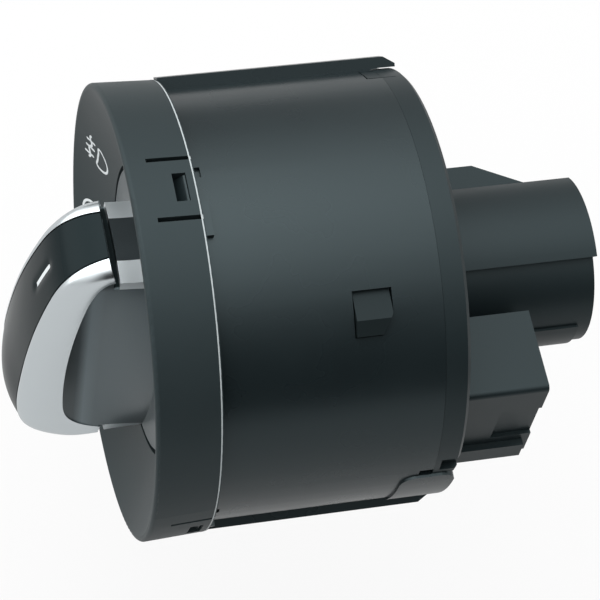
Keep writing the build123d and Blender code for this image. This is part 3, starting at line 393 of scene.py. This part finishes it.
bezel_plastic = moulded("bezel_plastic", (0.016, 0.023, 0.025), 0.46, grain=0.35, level=0.30)
barrel_plastic = moulded("barrel_plastic", (0.0085, 0.013, 0.0145), 0.28, level=0.43)
cover_plastic = moulded("cover_plastic", (0.0095, 0.0145, 0.016), 0.38, level=0.31)
grip_plastic = moulded("grip_plastic", (0.020, 0.024, 0.026), 0.32, grain=0.25, level=0.6)
gloss_black = moulded("gloss_black", (0.0045, 0.009, 0.0102), 0.22, grain=0.0, level=0.12)
catch_plastic = moulded("catch_plastic", (0.008, 0.012, 0.013), 0.5, level=0.2)
inner_plastic = moulded("inner_plastic", (0.05, 0.05, 0.05), 0.45)
# A matt near-black for the painted shade in the gap under the grip.
shadow_black = moulded("shadow_black", (0.010, 0.015, 0.016), 0.8, grain=0.0, level=0.08)
# A light grey that paints the highlight on the bezel's rear edge.
painted_highlight_grey = moulded("painted_highlight_grey", (0.42, 0.46, 0.47), 0.3, grain=0.0)
print_white = moulded("print_white", (0.62, 0.66, 0.67), 0.5, tint=neutral)
board_green = moulded("board_green", (0.02, 0.11, 0.05), 0.35, tint=neutral)
clear_guide = moulded("clear_guide", (0.75, 0.78, 0.78), 0.2, tint=neutral)
print(len(bpy.data.materials) - came_with, "plastics and inks")

# %% [markdown]
# ## Metals
# The grip's trim is satin chrome plating, its two end pieces are plated duller, the contacts
# are tinned brass, and springs, screws and balls are steel. A metal's colour is the colour of
# its reflection, so the colour goes on the base and the surface is wholly metallic. Roughness
# does the rest: at 0.24 the trim mirrors the room as broad soft bands and not as a picture.

# %% Metals
plated_grain = 0.05


def metal(name, colour, roughness):
    """The same surface, wholly metallic, with a finer grain."""
    material, shader, _ = surface(name, roughness, plated_grain, **plated_look)
    shader.inputs["Base Color"].default_value = (*colour, 1)
    shader.inputs["Metallic"].default_value = 1.0
    return material


satin_chrome = metal("satin_chrome", (0.70, 0.755, 0.78), 0.24)
end_chrome = metal("end_chrome", (0.72, 0.77, 0.79), 0.45)
tinned_brass = metal("tinned_brass", (0.72, 0.66, 0.52), 0.25)
spring_steel = metal("spring_steel", (0.58, 0.58, 0.57), 0.28)
print(len(bpy.data.materials) - came_with, "finishes with the metals")

# %% [markdown]
# ## Painted highlight and painted shade on the grip's flanks
# Each of the grip's two hollow flanks gets a painted highlight along its middle, and painted
# shade just under the metal trim. The band could be painted on a picture that is wrapped
# round the grip. But it runs straight along the flank, so the depth along Y alone says where
# it is: a ramp of colour over Y does it, and stays sharp at any distance.

# %% Bands by depth
# Painted shade under the trim, then a painted highlight in the middle of the flank, by depth.
band_depths = [-26.0, -20.5, -18.2, -16.6, -14.6, -12.0, -6.0]
band_shades = [0.014, 0.014, 0.045, 0.20, 0.125, 0.105, 0.060]
band_cast = (0.80, 0.98, 1.06)
tree = grip_plastic.node_tree
spot = add_node(tree, "ShaderNodeTexCoord")
parts = add_node(tree, "ShaderNodeSeparateXYZ")
across_band = add_node(tree, "ShaderNodeMapRange")
across_band.inputs["From Min"].default_value = band_depths[0] * MM
across_band.inputs["From Max"].default_value = band_depths[-1] * MM
band = add_node(tree, "ShaderNodeValToRGB")
stops = band.color_ramp
while len(stops.elements) < len(band_depths):
    stops.elements.new(0.5)
for stop, depth in zip(stops.elements, band_depths):
    stop.position = (depth - band_depths[0]) / (band_depths[-1] - band_depths[0])
for stop, shade in zip(stops.elements, band_shades):
    stop.color = (*[shade * c for c in band_cast], 1)
link(
    tree,
    (spot.outputs["Object"], parts.inputs[0]),
    (parts.outputs["Y"], across_band.inputs["Value"]),
    (across_band.outputs[0], band.inputs[0]),
)
print("the lightest band lies", -band_depths[band_shades.index(max(band_shades))], "mm out")

# %% [markdown]
# The two end walls of the grip lie at the same depths as the flanks, but the painted highlight
# and shade stay off them. They are the places furthest up and down, so the height along Z tells
# them apart.

# %% Painted light only on the flanks
flank_to, end_wall_from = 0.0212, 0.0228
height = add_node(tree, "ShaderNodeMath", operation="ABSOLUTE")
flank_mask = add_node(tree, "ShaderNodeMapRange", interpolation_type="SMOOTHSTEP")
flank_mask.inputs["From Min"].default_value = end_wall_from
flank_mask.inputs["From Max"].default_value = flank_to
# The flanks take the painted highlight and shade; the end walls keep the plastic's own colour.
painted_light_mix = add_node(tree, "ShaderNodeMix", data_type="RGBA")
shader = tree.nodes["Principled BSDF"]
plain = shader.inputs["Base Color"].links[0].from_socket
link(
    tree,
    (parts.outputs["Z"], height.inputs[0]),
    (height.outputs[0], flank_mask.inputs["Value"]),
    (flank_mask.outputs[0], painted_light_mix.inputs["Factor"]),
    (plain, painted_light_mix.inputs["A"]),
    (band.outputs["Color"], painted_light_mix.inputs["B"]),
    (painted_light_mix.outputs["Result"], shader.inputs["Base Color"]),
)
print("painted_light_runs up to", round(flank_to / MM, 1), "mm from the axis")

# %% [markdown]
# ## Flow lines in the barrel
# Plastic runs into the barrel's mould from one end, and the wall cools a little uneven. Long,
# shallow waves along Y are left, a few micrometres deep, that break up the long highlights.
# They are far too shallow to be worth moving the mesh. A second bump is enough, made of noise
# that a Mapping node stretches along Y, and it feeds the grain's bump so that both show.

# %% Flow lines
stretch_along = (1.0, 0.16, 1.0)
tree = barrel_plastic.node_tree
flow_spot = add_node(tree, "ShaderNodeTexCoord")
stretch = add_node(tree, "ShaderNodeMapping", vector_type="POINT")
stretch.inputs["Scale"].default_value = stretch_along
flow = add_node(tree, "ShaderNodeTexNoise", Scale=170.0, Detail=2.0)
wave = add_node(tree, "ShaderNodeBump", Strength=0.55, Distance=0.00006)
link(
    tree,
    (flow_spot.outputs["Object"], stretch.inputs["Vector"]),
    (stretch.outputs[0], flow.inputs["Vector"]),
    (flow.outputs["Fac"], wave.inputs["Height"]),
    (wave.outputs["Normal"], tree.nodes["grain"].inputs["Normal"]),
)
print("flow lines are", round(1 / stretch_along[1], 1), "times as long as wide")

# %% [markdown]
# ## Which part wears which finish
# Each solid comes with empty places for its material, and all of them are filled here, the ones
# inside the barrel too: nothing hides them if someone opens the model later. A table from
# finish to wearers reads better than a list of solids, and shows at once what is made alike.

# %% Who wears what
wearers = {
    bezel_plastic: ["front_bezel"],
    barrel_plastic: ["barrel_housing"],
    cover_plastic: ["rear_cover"],
    catch_plastic: ["upper_catch", "lower_catch"],
    grip_plastic: ["knob_body"],
    gloss_black: ["knob_inlay", "controller_chip", "power_transistor"],
    inner_plastic: ["contact_plate", "rotor", "rotor_end_cap", "detent_ring", "knob_shaft"],
    print_white: ["pointer_line", "dial_lamps"],
    board_green: ["circuit_board", "lamp_board"],
    clear_guide: ["light_guide"],
    satin_chrome: ["knob_trim"],
    end_chrome: ["pointer_end_trim", "tail_end_trim"],
    tinned_brass: [
        "round_socket_blades", "inner_box_blades", "outer_box_blades",
        "inner_contact_track", "outer_contact_track", "wiper_contacts",
    ],
    spring_steel: [
        "upper_detent_ball", "lower_detent_ball", "upper_detent_spring", "lower_detent_spring",
        "upper_catch_spring", "lower_catch_spring", "shaft_spring", "shaft_clip",
        "board_screws", "board_capacitor",
    ],
}
for finish, names in wearers.items():
    for name in names:
        for slot in nodes[name].material_slots:
            slot.material = finish
print(sum(map(len, wearers.values())), "of", len(nodes), "solids have their finish")

# %% [markdown]
# ## Curves that pass through measured points
# The grip has no straight line on it. Its inlay and its metal trim are edged by long curves.
# A sculptor would pull them out of clay, and Blender's own curve objects could draw them, but
# their handles are hard to set from a measure. A spline runs smoothly through every point that
# was measured, and two splines of as many points keep step, because both count by points.

# %% Spline through points


def spline(points, count):
    """Natural cubic spline with chord-length knots, read at even steps of the knot's number."""
    p = np.asarray(points, float)
    t = np.concatenate([[0.0], np.cumsum(np.linalg.norm(np.diff(p, axis=0), axis=1))])
    h = np.diff(t)
    inner = np.arange(1, len(p) - 1)
    bend = np.eye(len(p))
    bend[inner, inner - 1] = h[:-1]
    bend[inner, inner] = 2 * (h[:-1] + h[1:])
    bend[inner, inner + 1] = h[1:]
    pull = np.zeros_like(p)
    rise = np.diff(p, axis=0) / h[:, None]
    pull[inner] = 6 * (rise[1:] - rise[:-1])
    m = np.linalg.solve(bend, pull)
    number = np.linspace(0, len(p) - 1, count)
    k = np.clip(number.astype(int), 0, len(p) - 2)
    s = number - k
    speed = np.gradient(t)
    knot = (1 + 2 * s) * (1 - s) ** 2 * t[k] + s * (1 - s) ** 2 * speed[k]
    knot += s * s * (3 - 2 * s) * t[k + 1] - s * s * (1 - s) * speed[k + 1]
    w, r = h[k][:, None], (knot - t[k])[:, None]
    q = w - r
    return (m[k] * q**3 + m[k + 1] * r**3) / (6 * w) + (p[k] / w - m[k] * w / 6) * q + (
        p[k + 1] / w - m[k + 1] * w / 6
    ) * r


trial = spline([(0, 0), (3, 4), (9, 4)], 5)
print("a trial spline goes by", trial.round(2).tolist())

# %% [markdown]
# Points that crowd together make thin, creased faces, and shading shows every one of them. So a
# row of points can be spaced out again along its own length before it becomes faces.

# %% Even steps along a row


def evenly(rows, count):
    """Each row of points spaced out again at equal steps along its own length."""
    step = np.linalg.norm(np.diff(rows, axis=1), axis=2)
    along = np.concatenate([np.zeros((len(rows), 1)), np.cumsum(step, axis=1)], axis=1)
    along /= along[:, -1:]
    want = np.linspace(0, 1, count)
    k = np.clip((along[:, :, None] <= want).sum(1) - 1, 0, rows.shape[1] - 2)
    first, second = np.take_along_axis(along, k, 1), np.take_along_axis(along, k + 1, 1)
    share = np.clip((want - first) / np.maximum(second - first, 1e-9), 0, 1)[..., None]
    row = np.arange(len(rows))[:, None]
    return rows[row, k] * (1 - share) + rows[row, k + 1] * share


print("the trial spline spaced out again:", evenly(trial[None], 3)[0].round(2).tolist())

# %% [markdown]
# ## From a grid of points to a skin
# Every skin below is a function of two parameters, worked out as one grid of points. Faces could
# be joined up in a loop, corner by corner. Whole arrays of corner numbers do it at once, and
# also tell which way the skin faces: if most faces look towards the piece's heart, all of them
# are turned round. Points that meet, as where a ring closes, become one, so no seam is left.

# %% Grid of points to mesh


def skin(name, grids, finish, body, centre):
    """Quads over one or more equal (rows, columns, 3) grids in millimetres, facing off centre."""
    grids = np.asarray(grids, float)
    high, wide = grids.shape[-3:-1]
    grids = grids.reshape(-1, high * wide, 3)
    i, j = np.meshgrid(np.arange(high - 1), np.arange(wide - 1), indexing="ij")
    start = (i * wide + j).ravel()
    quads = start[:, None] + np.array([0, 1, wide + 1, wide])
    a, b, c, d = np.moveaxis(grids[:, quads], 2, 0)
    off_centre = (a + c) / 2 - np.asarray(centre, float)
    facing = np.sum(np.cross(c - a, d - b) * off_centre, axis=(1, 2))
    every = np.where((facing < 0)[:, None, None], quads[:, ::-1], quads)
    every = every + (np.arange(len(grids)) * high * wide)[:, None, None]
    spots, joined = np.unique(np.round(grids.reshape(-1, 3), 5) + 0.0, axis=0, return_inverse=True)
    mesh = bpy.data.meshes.new(name)
    mesh.from_pydata((spots * MM).tolist(), [], joined.ravel()[every.reshape(-1, 4)].tolist())
    mesh.polygons.foreach_set("use_smooth", np.ones(len(mesh.polygons), bool))
    mesh.materials.append(finish)
    piece = bpy.data.objects.new(name, mesh)
    bpy.context.collection.objects.link(piece)
    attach(piece, body)
    print(name, "on the", body, "has", len(mesh.polygons), "faces")
    return piece


# %% [markdown]
# A skin has no thickness, and real trim is moulded or cast with a wall and a small round on its
# edges. Both could be built into the grid. Two modifiers do it for any skin: Solidify grows the
# wall inwards, so the outside stays where it was measured, and Bevel rounds the wall's edges.

# %% Wall and rounded edges
edge_steps = 3
sharp_turn = math.radians(50)


def walled(piece, wall, rounding):
    """Gives a skin its wall, inwards, and rounds the edges of that wall."""
    solid = piece.modifiers.new("wall", "SOLIDIFY")
    solid.thickness = wall * MM
    solid.offset = -1.0
    soft = piece.modifiers.new("rounding", "BEVEL")
    soft.width = rounding * MM
    soft.segments = edge_steps
    soft.limit_method = "ANGLE"
    soft.angle_limit = sharp_turn
    soft.harden_normals = True
    return piece


print("edges that turn more than", round(math.degrees(sharp_turn)), "degrees get rounded")

# %% [markdown]
# ## The grip from the side
# Seen from the side, the grip climbs from its pointer end to a high tail. Four lines say all of
# it: the ridge along its top, the crest where the inlay ends, the shoulder where the metal turns
# down into the flank, and the hem where the metal stops. They are given as shares of the grip's
# radius and height, so that the whole grip can be made larger or smaller by two numbers.

# %% Side views of the grip
groove_front = -13.55
grip_height = 14.15
grip_radius = 25.4
long_steps = 261
ridge_shares = [
    (1.033, 0.03), (1.012, 0.175), (0.943, 0.385), (0.822, 0.56), (0.615, 0.71), (0.235, 0.883),
    (-0.33, 1.039), (-0.65, 1.083), (-0.83, 1.0), (-0.95, 0.625), (-0.975, 0.0),
]
crest_shares = [
    (1.035, 0.035), (1.014, 0.168), (0.946, 0.372), (0.823, 0.551), (0.617, 0.696),
    (0.239, 0.859), (-0.328, 0.983), (-0.65, 0.99), (-0.823, 0.9), (-0.94, 0.535), (-0.968, 0.0),
]
shoulder_shares = [
    (0.933, -0.02), (0.917, 0.07), (0.862, 0.17), (0.67, 0.304), (0.437, 0.389), (0.161, 0.459),
    (-0.165, 0.502), (-0.472, 0.505), (-0.728, 0.473), (-0.874, 0.353), (-0.894, 0.0),
]
hem_shares = [
    (0.933, -0.02), (0.917, 0.07), (0.862, 0.17), (0.67, 0.304), (0.437, 0.389), (0.161, 0.459),
    (-0.165, 0.502), (-0.46, 0.498), (-0.655, 0.43), (-0.765, 0.26), (-0.839, 0.0),
]


def side_view(line_shares):
    """(depth, height) of a side view given in shares of the grip's height and radius."""
    along, high = np.asarray(line_shares, float).T
    line = np.stack([groove_front - grip_height * high, grip_radius * along], 1)
    return spline(line, long_steps)


all_shares = (ridge_shares, crest_shares, shoulder_shares, hem_shares)
ridge, crest, shoulder, hem = (side_view(line_shares) for line_shares in all_shares)
hem_tuck = 0.3
hem[:, 0] = np.minimum(hem[:, 0] + hem_tuck, groove_front + hem_tuck)
print("the ridge stands", round(-ridge[:, 0].min(), 2), "mm before the seat, over",
      np.round(np.ptp(ridge[:, 1]), 1), "mm")

# %% [markdown]
# ## The metal trim
# A satin metal trim fills each shoulder, from the inlay down to the flank. On the real grip it
# is one plated casting. A plain fillet between two faces could stand for it, but a fillet's
# highlight starts and stops with a line. The section here is a superellipse, rounder than a
# fillet and tighter than a circle, so the metal shows one long even highlight. At the tail the
# metal runs on down the flank to the groove.

# %% Metal trim
inlay_halves = [4.33, 4.5, 4.75, 5.01, 5.36, 6.01, 6.83, 7.2, 7.33, 7.39, 7.36]
grip_half, grip_taper = 9.15, 0.0615
grip_centre = (0.0, -12.0, -2.0)
round_power = 2.2
seam = 0.13
trim_wall, trim_rounding = 0.9, 0.16
turn_steps = np.radians(np.linspace(0, 90, 40))
flank_steps, trim_columns = 9, 30
knots = np.arange(len(inlay_halves))
inlay_half = spline(np.stack([knots, inlay_halves], 1), long_steps)[:, 1]


def trim_skin(side):
    """Out = sin(t)^(2/n), down = 1 - cos(t)^(2/n) from the crest to the shoulder, then the hem."""
    out = np.sin(turn_steps) ** (2 / round_power)
    down = 1 - np.cos(turn_steps) ** (2 / round_power)
    view = crest[:, None] * (1 - down)[:, None] + shoulder[:, None] * down[:, None]
    flank = np.linspace(0, 1, flank_steps)[1:, None]
    view = np.concatenate([view, shoulder[:, None] * (1 - flank) + hem[:, None] * flank], axis=1)
    out = np.append(out, np.ones(flank_steps - 1))
    inner = (inlay_half + seam)[:, None]
    x = side * (inner + (grip_half - grip_taper * view[..., 1] - inner) * out)
    return evenly(np.stack([x, view[..., 0], view[..., 1]], -1), trim_columns)


for side, word in ((1, "right"), (-1, "left")):
    trim = skin(f"{word}_trim", trim_skin(side), satin_chrome, "knob", grip_centre)
    walled(trim, trim_wall, trim_rounding)
    if side == 1:
        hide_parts("knob_trim")
print("the seam beside the inlay is", 2 * seam, "mm wide")

# %% [markdown]
# ## The gloss inlay
# Between the trims lies a strip of gloss black plastic. It is slightly domed, highest on the
# ridge and level with the metal at its edges. Round the pointer line it is pressed in, as if by
# a fingertip. A bump could fake that hollow, but the gloss would give it away in the reflection,
# so the points themselves sink, by a bell-shaped depth of their distance from the line.

# %% Gloss inlay, hollowed round the pointer line
pointer_near, pointer_far = 18.0, 12.5
hollow_depth, hollow_spread = 0.30, 0.95
inlay_wall, inlay_rounding = 1.0, 0.18
inlay_columns = 49


def inlay_skin(across, rows=slice(None)):
    """Across by t: crest t^2 + ridge (1 - t^2), sunk by depth exp(-(d / spread)^2) by the line."""
    t = (across / inlay_half[rows, None])[..., None]
    view = crest[rows, None] * t**2 + ridge[rows, None] * (1 - t**2)
    depth, z = view[..., 0], view[..., 1]
    off_line = np.hypot(across, z - np.clip(z, pointer_far, pointer_near))
    sunk = depth + hollow_depth * np.exp(-((off_line / hollow_spread) ** 2))
    return np.stack([across + 0 * z, sunk, z], -1)


inlay_rows = inlay_skin(np.linspace(-1, 1, inlay_columns) * (inlay_half - seam)[:, None])
inlay = skin("inlay", inlay_rows, gloss_black, "knob", grip_centre)
walled(inlay, inlay_wall, inlay_rounding)
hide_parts("knob_inlay")
narrow, wide = 2 * inlay_half.min(), 2 * inlay_half.max()
print("the inlay is", round(narrow, 1), "to", round(wide, 1), "mm wide")

# %% [markdown]
# ## The pointer line
# A short white line says which sign the knob points at. It is printed, so it has to lie in the
# hollow exactly as the plastic does. A flat strip would cut through it or float. So the line
# asks the inlay's own formula for its points, and is lifted by the thickness of the ink.

# %% Pointer line
print_lift = 0.03
line_half, line_round = 0.38, 0.4
line_columns = 9


def pointer_skin():
    """The inlay again, between x = -w and w, its ends rounded: w^2 = a^2 (1 - (d / r)^2)."""
    down_line = ridge[:, 1]
    rows = (down_line < pointer_near + line_round) & (down_line > pointer_far - line_round)
    middle, reach = (pointer_near + pointer_far) / 2, (pointer_near - pointer_far) / 2
    beyond = np.clip(np.abs(down_line[rows] - middle) - reach, 0, line_round) / line_round
    width = line_half * np.sqrt(1 - beyond**2)
    points = inlay_skin(np.linspace(-1, 1, line_columns) * width[:, None], rows)
    points[..., 1] -= print_lift
    return points


pointer = skin("pointer", pointer_skin(), print_white, "knob", grip_centre)
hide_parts("pointer_line")
print("the line is", pointer_near - pointer_far, "mm long between its round ends")

# %% [markdown]
# ## The dark gap under the grip
# The grip's ends overhang its disc, and a narrow gap is left under them. Light never reaches the
# gap's floor, so in the picture it is the darkest line of all. More samples would not make it
# darker, since plastic that shines a little always finds some light. A thin matt black sheet of
# painted shade on the floor of the gap does, a piece of a cylinder at each end.

# %% Painted shade in the gap
disc_radius, gap_depth = 24.5, 1.3
shade_sheet_lift = 0.02
shade_sheet_before, shade_sheet_behind = 0.4, 1.0
gap_turn = math.radians(18.8)
end_turns = np.linspace(-gap_turn, gap_turn, 25)
gap_depths = np.linspace(groove_front - shade_sheet_before, groove_front + shade_sheet_behind, 5)
turn_grid, depth_grid = np.meshgrid(end_turns, gap_depths)
shade_sheet_radius = disc_radius - gap_depth + shade_sheet_lift
sweep, rise = shade_sheet_radius * np.sin(turn_grid), shade_sheet_radius * np.cos(turn_grid)
shade_sheets = [np.stack([sweep, depth_grid, end * rise], -1) for end in (1, -1)]
# The sheet is painted shade, laid where light never reaches.
skin("gap_painted_shade", shade_sheets, shadow_black, "knob", (0.0, -13.0, 0.0))
print("the lining lies", round(shade_sheet_radius, 2), "mm from the axis")

# %% [markdown]
# ## A painted highlight on the bezel's edge
# The bezel's rear edge is a crisp corner that shows as one fine light line between the bezel and
# the barrel. A sharper corner in the solid would not catch the light, and a rounder one would
# spread it. So the line is a painted highlight: a ring that hugs the corner, a few hundredths of
# a millimetre proud, is painted light grey.

# %% Painted highlight on the bezel's edge
edge_radius, edge_round = 38.5, 0.3
edge_lift = 0.03
edge_start, edge_start_lift = -0.40, 0.045
ring_steps = 361
corner_turns = np.radians(np.linspace(0, 80, 7))
edge_r = edge_radius - edge_round + (edge_round + edge_lift) * np.cos(corner_turns)
edge_y = (edge_round + edge_lift) * np.sin(corner_turns) - edge_round
edge_r = np.append([edge_radius + edge_start_lift], edge_r)
edge_y = np.append([edge_start], edge_y)
ring_turns = np.linspace(0, 2 * np.pi, ring_steps)
edge_rows = np.stack(
    [
        np.outer(np.sin(ring_turns), edge_r),
        np.outer(np.ones(ring_steps), edge_y),
        np.outer(np.cos(ring_turns), edge_r),
    ],
    -1,
)
# The ring is a painted highlight, light grey on the dark bezel.
skin("bezel_painted_highlight", edge_rows, painted_highlight_grey, "housing", (0.0, -6.0, 0.0))
print("the edge reaches", round(edge_r.max(), 3), "mm from the axis")

# %% [markdown]
# ## Springs that give
# Each catch stands on a small coil spring, and the knob's shaft has a wide one. A coil is a
# circle swept along a helix. Blender's Screw modifier can make one, but its ends stay flat, and
# here the wire's radius shrinks to nothing at both ends, so the coil closes by itself.

# %% Coils
wire_turns = np.linspace(0, 2 * np.pi, 13)
steps_per_turn = 36
smallest_share = 0.01


def coil(name, seat, along, radius, wire, length, turns, body):
    """Point = seat + h(a) axis + (R + w cos b) spoke(a) + w sin b axis, a turning all the way."""
    axis = np.asarray(along, float) / np.linalg.norm(along)
    first = np.cross(axis, (0.0, 1.0, 0.3))
    first /= np.linalg.norm(first)
    second = np.cross(axis, first)
    a = np.linspace(0, 2 * np.pi * turns, round(steps_per_turn * turns) + 1)
    ends = np.clip(np.minimum(a, a[-1] - a) * radius / wire, smallest_share, 1)
    w = wire * np.sqrt(np.clip(1 - (1 - ends) ** 2, 0, 1))[:, None]
    rise = (wire + (length - 2 * wire) * a / a[-1])[:, None] + w * np.sin(wire_turns)
    spoke = np.cos(a)[:, None] * first + np.sin(a)[:, None] * second
    reach = radius + w * np.cos(wire_turns)
    points = np.asarray(seat, float) + rise[..., None] * axis + reach[..., None] * spoke[:, None]
    heart = np.asarray(seat, float) + rise.mean() * axis
    return skin(name, points, spring_steel, body, heart)


print("a coil's wire has", len(wire_turns) - 1, "sides and", steps_per_turn, "steps in a turn")

# %% [markdown]
# When a catch is pressed in, its spring has to shorten with it. A coil that stays as long would
# poke through the catch. So each one is built stiff, from its seat in the housing, only as long
# as what is left of its length when the catch is all the way in.

# %% Catch springs
catch_length = 3.8
catch_seat, catch_depth = 28.57, 25.45
catch_axis = np.array([0.587785, 0.0, 0.809017])
for side, word in ((1, "upper"), (-1, "lower")):
    outward = side * catch_axis
    seat = outward * catch_seat + (0.0, catch_depth, 0.0)
    catch_coil = coil(f"{word}_catch_coil", seat, outward, 1.5, 0.2, catch_length, 5, "housing")
    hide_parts(f"{word}_catch_spring")
    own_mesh(catch_coil)

# %% [markdown]
# The shaft's spring lies loose round the shaft, inside the rotor, and keeps the knob pressed
# out. It turns with the rotor and never shortens much, so it is left stiff, and only as long as
# the room that is left for it when the knob is pushed in.

# %% Shaft spring
shaft_length, shaft_seat = 4.5, (0.0, 24.45, 0.0)
forwards = (0.0, -1.0, 0.0)
shaft_coil = coil("shaft_coil", shaft_seat, forwards, 6.8, 0.4, shaft_length, 3.5, "rotor")
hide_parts("shaft_spring")
print("the shaft's coil stands", shaft_length, "mm tall")

# %% [markdown]
# ## Printed signs
# The dial's signs are pad printed: a soft pad carries the ink into the dish, so each stroke
# follows the curve of the plastic and stands a few hundredths of a millimetre proud. A picture
# could be laid on the dial, but it would blur close up. So each stroke is a ribbon of faces that
# runs along a spline and asks the dish how deep it lies at every point.

# %% Ribbons of ink
dish_inner, dish_outer = 24.9, 38.0
dish_start, dish_fall, dish_bow = -5.95, 5.0, 0.35
sign_width = 0.5
stroke_steps = 49


def dish_depth(x, z):
    """A cone from the disc out to the rim, bowed by bow (1 - s^2) across its width."""
    r = np.hypot(x, z)
    s = (2 * r - dish_inner - dish_outer) / (dish_outer - dish_inner)
    share = (r - dish_inner) / (dish_outer - dish_inner)
    return dish_start - dish_fall * share + dish_bow * (1 - s * s)


def stroke(points, round_ends=True):
    """A ribbon along a spline: each point steps w(t) n to both sides, w(t) closing at the ends."""
    line = evenly(spline(points, 121)[None], stroke_steps)[0]
    heading = np.gradient(line, axis=0)
    heading /= np.linalg.norm(heading, axis=1)[:, None]
    normal = heading[:, ::-1] * (1, -1)
    run = np.concatenate([[0.0], np.cumsum(np.linalg.norm(np.diff(line, axis=0), axis=1))])
    near_end = np.clip(np.minimum(run, run[-1] - run) / (sign_width / 2), 0.02, 1)
    closing = np.sqrt(np.clip(1 - (1 - near_end) ** 2, 0, 1))
    half = sign_width / 2 * (closing if round_ends else np.ones(stroke_steps))
    flat = line[:, None] + normal[:, None] * (half[:, None] * np.linspace(-1, 1, 5))[..., None]
    x, z = flat[..., 0], flat[..., 1]
    return np.stack([x, dish_depth(x, z) - print_lift, z], -1)


print("the dish is", round(float(-dish_depth(dish_inner, 0.0)), 2), "to",
      round(float(-dish_depth(dish_outer, 0.0)), 2), "mm before the seat")

# %% [markdown]
# ## The alphabet of the signs
# All signs for car lamps are made of the same few shapes: a lamp seen from the side, straight
# beams, a wavy line for fog, and a ring for off. Drawn once each, they can be put together to
# any of the signs, and all come out with the same width of stroke.

# %% Lamps, beams, mist and ring


def lamp(x, z, side, tall=2.5, deep=3.2):
    """The lamp outline: flat at x, bulging to that side by deep (1 - (z/tall)^2)^(1/2)."""
    upper_rise = np.array([0, 0.6, 0.93, 1.0, 0.93, 0.68, 0.25])
    upper_bulge = np.array([0, 0, 0.0, 0.13, 0.42, 0.75, 0.98])
    rise = np.append(upper_rise, -upper_rise[::-1])
    bulge = np.append(upper_bulge, upper_bulge[::-1])
    return stroke(np.stack([x + side * deep * bulge, z + tall * rise], 1), round_ends=False)


def beam(x, z, long, fall):
    """One straight beam from (x, z), that far along x and that far down."""
    return stroke([(x, z), (x + long / 2, z - fall / 2), (x + long, z - fall)])


def mist(x, z, tall=3.2):
    """The wavy line that stands for fog: x + 0.32 sin(2 pi z / 3.1)."""
    rise = np.linspace(-tall, tall, 17)
    return stroke(np.stack([x + 0.32 * np.sin(2 * np.pi * rise / 3.1), z + rise], 1))


def ring(x, z, half_wide, tall):
    """A plain nought, drawn as an ellipse."""
    t = np.linspace(0, 2 * np.pi, 17)
    return stroke(np.stack([x + half_wide * np.sin(t), z + tall * np.cos(t)], 1), round_ends=False)


print("a beam is a ribbon of", beam(0.0, 30.0, 2.5, 0.0).shape[:2], "points")

# %% [markdown]
# ## The five signs
# Fog lamps stand left of the pointer's upright position, and off, side lamps and dipped beam
# follow it clockwise. Each sign stands upright at its own place, as the driver reads it, and
# each is one skin of several ribbons, so it is one piece to move or to recolour.

# %% The five signs
sign_radius = 31.5


def at_clock(degrees):
    """(x, z) on the signs' circle, so many degrees clockwise from the top."""
    angle = math.radians(degrees)
    return sign_radius * math.sin(angle), sign_radius * math.cos(angle)


def front_fog(x, z):
    """A lamp to the right, a wavy line left of it, and three beams that fall to the left."""
    beams = [beam(x - 1.0, z + dz, -2.6, 0.9) for dz in (2.0, 0.15, -1.7)]
    return [lamp(x, z, 1), mist(x - 2.3, z), *beams]


def rear_fog(x, z):
    """A lamp to the left, a wavy line right of it, and three level beams to the right."""
    beams = [beam(x + 0.9, z + dz, 2.5, 0.0) for dz in (1.75, 0.0, -1.75)]
    return [lamp(x, z, -1, tall=2.8, deep=3.6), mist(x + 2.1, z), *beams]


def dipped(x, z):
    """A lamp to the right and four beams that fall to the left."""
    return [lamp(x, z, 1), *[beam(x - 0.9, z + dz, -2.9, 0.9) for dz in (2.1, 0.75, -0.6, -1.95)]]


def side_lamps(x, z):
    """Two small lamps back to back, each with three short beams that spread."""
    small = [lamp(x + s * 0.65, z, s, tall=1.6, deep=1.7) for s in (-1, 1)]
    glints = [
        beam(x + s * 2.9, z + dz, s * 1.2, -fall)
        for s in (-1, 1) for dz, fall in ((1.1, 0.6), (0.0, 0.0), (-1.1, -0.6))
    ]
    return small + glints


signs = {
    "sign_front_fog": front_fog(-31.35, -0.05),
    "sign_rear_fog": rear_fog(-27.9, -15.1),
    "sign_off": [ring(*at_clock(0), 1.35, 2.1)],
    "sign_side_lamps": side_lamps(*at_clock(30)),
    "sign_dipped": dipped(*at_clock(62)),
}
for name, strokes in signs.items():
    mark = skin(name, strokes, print_white, "housing", (0.0, 10.0, 0.0))
print(len(signs), "signs of", [len(strokes) for strokes in signs.values()], "strokes")
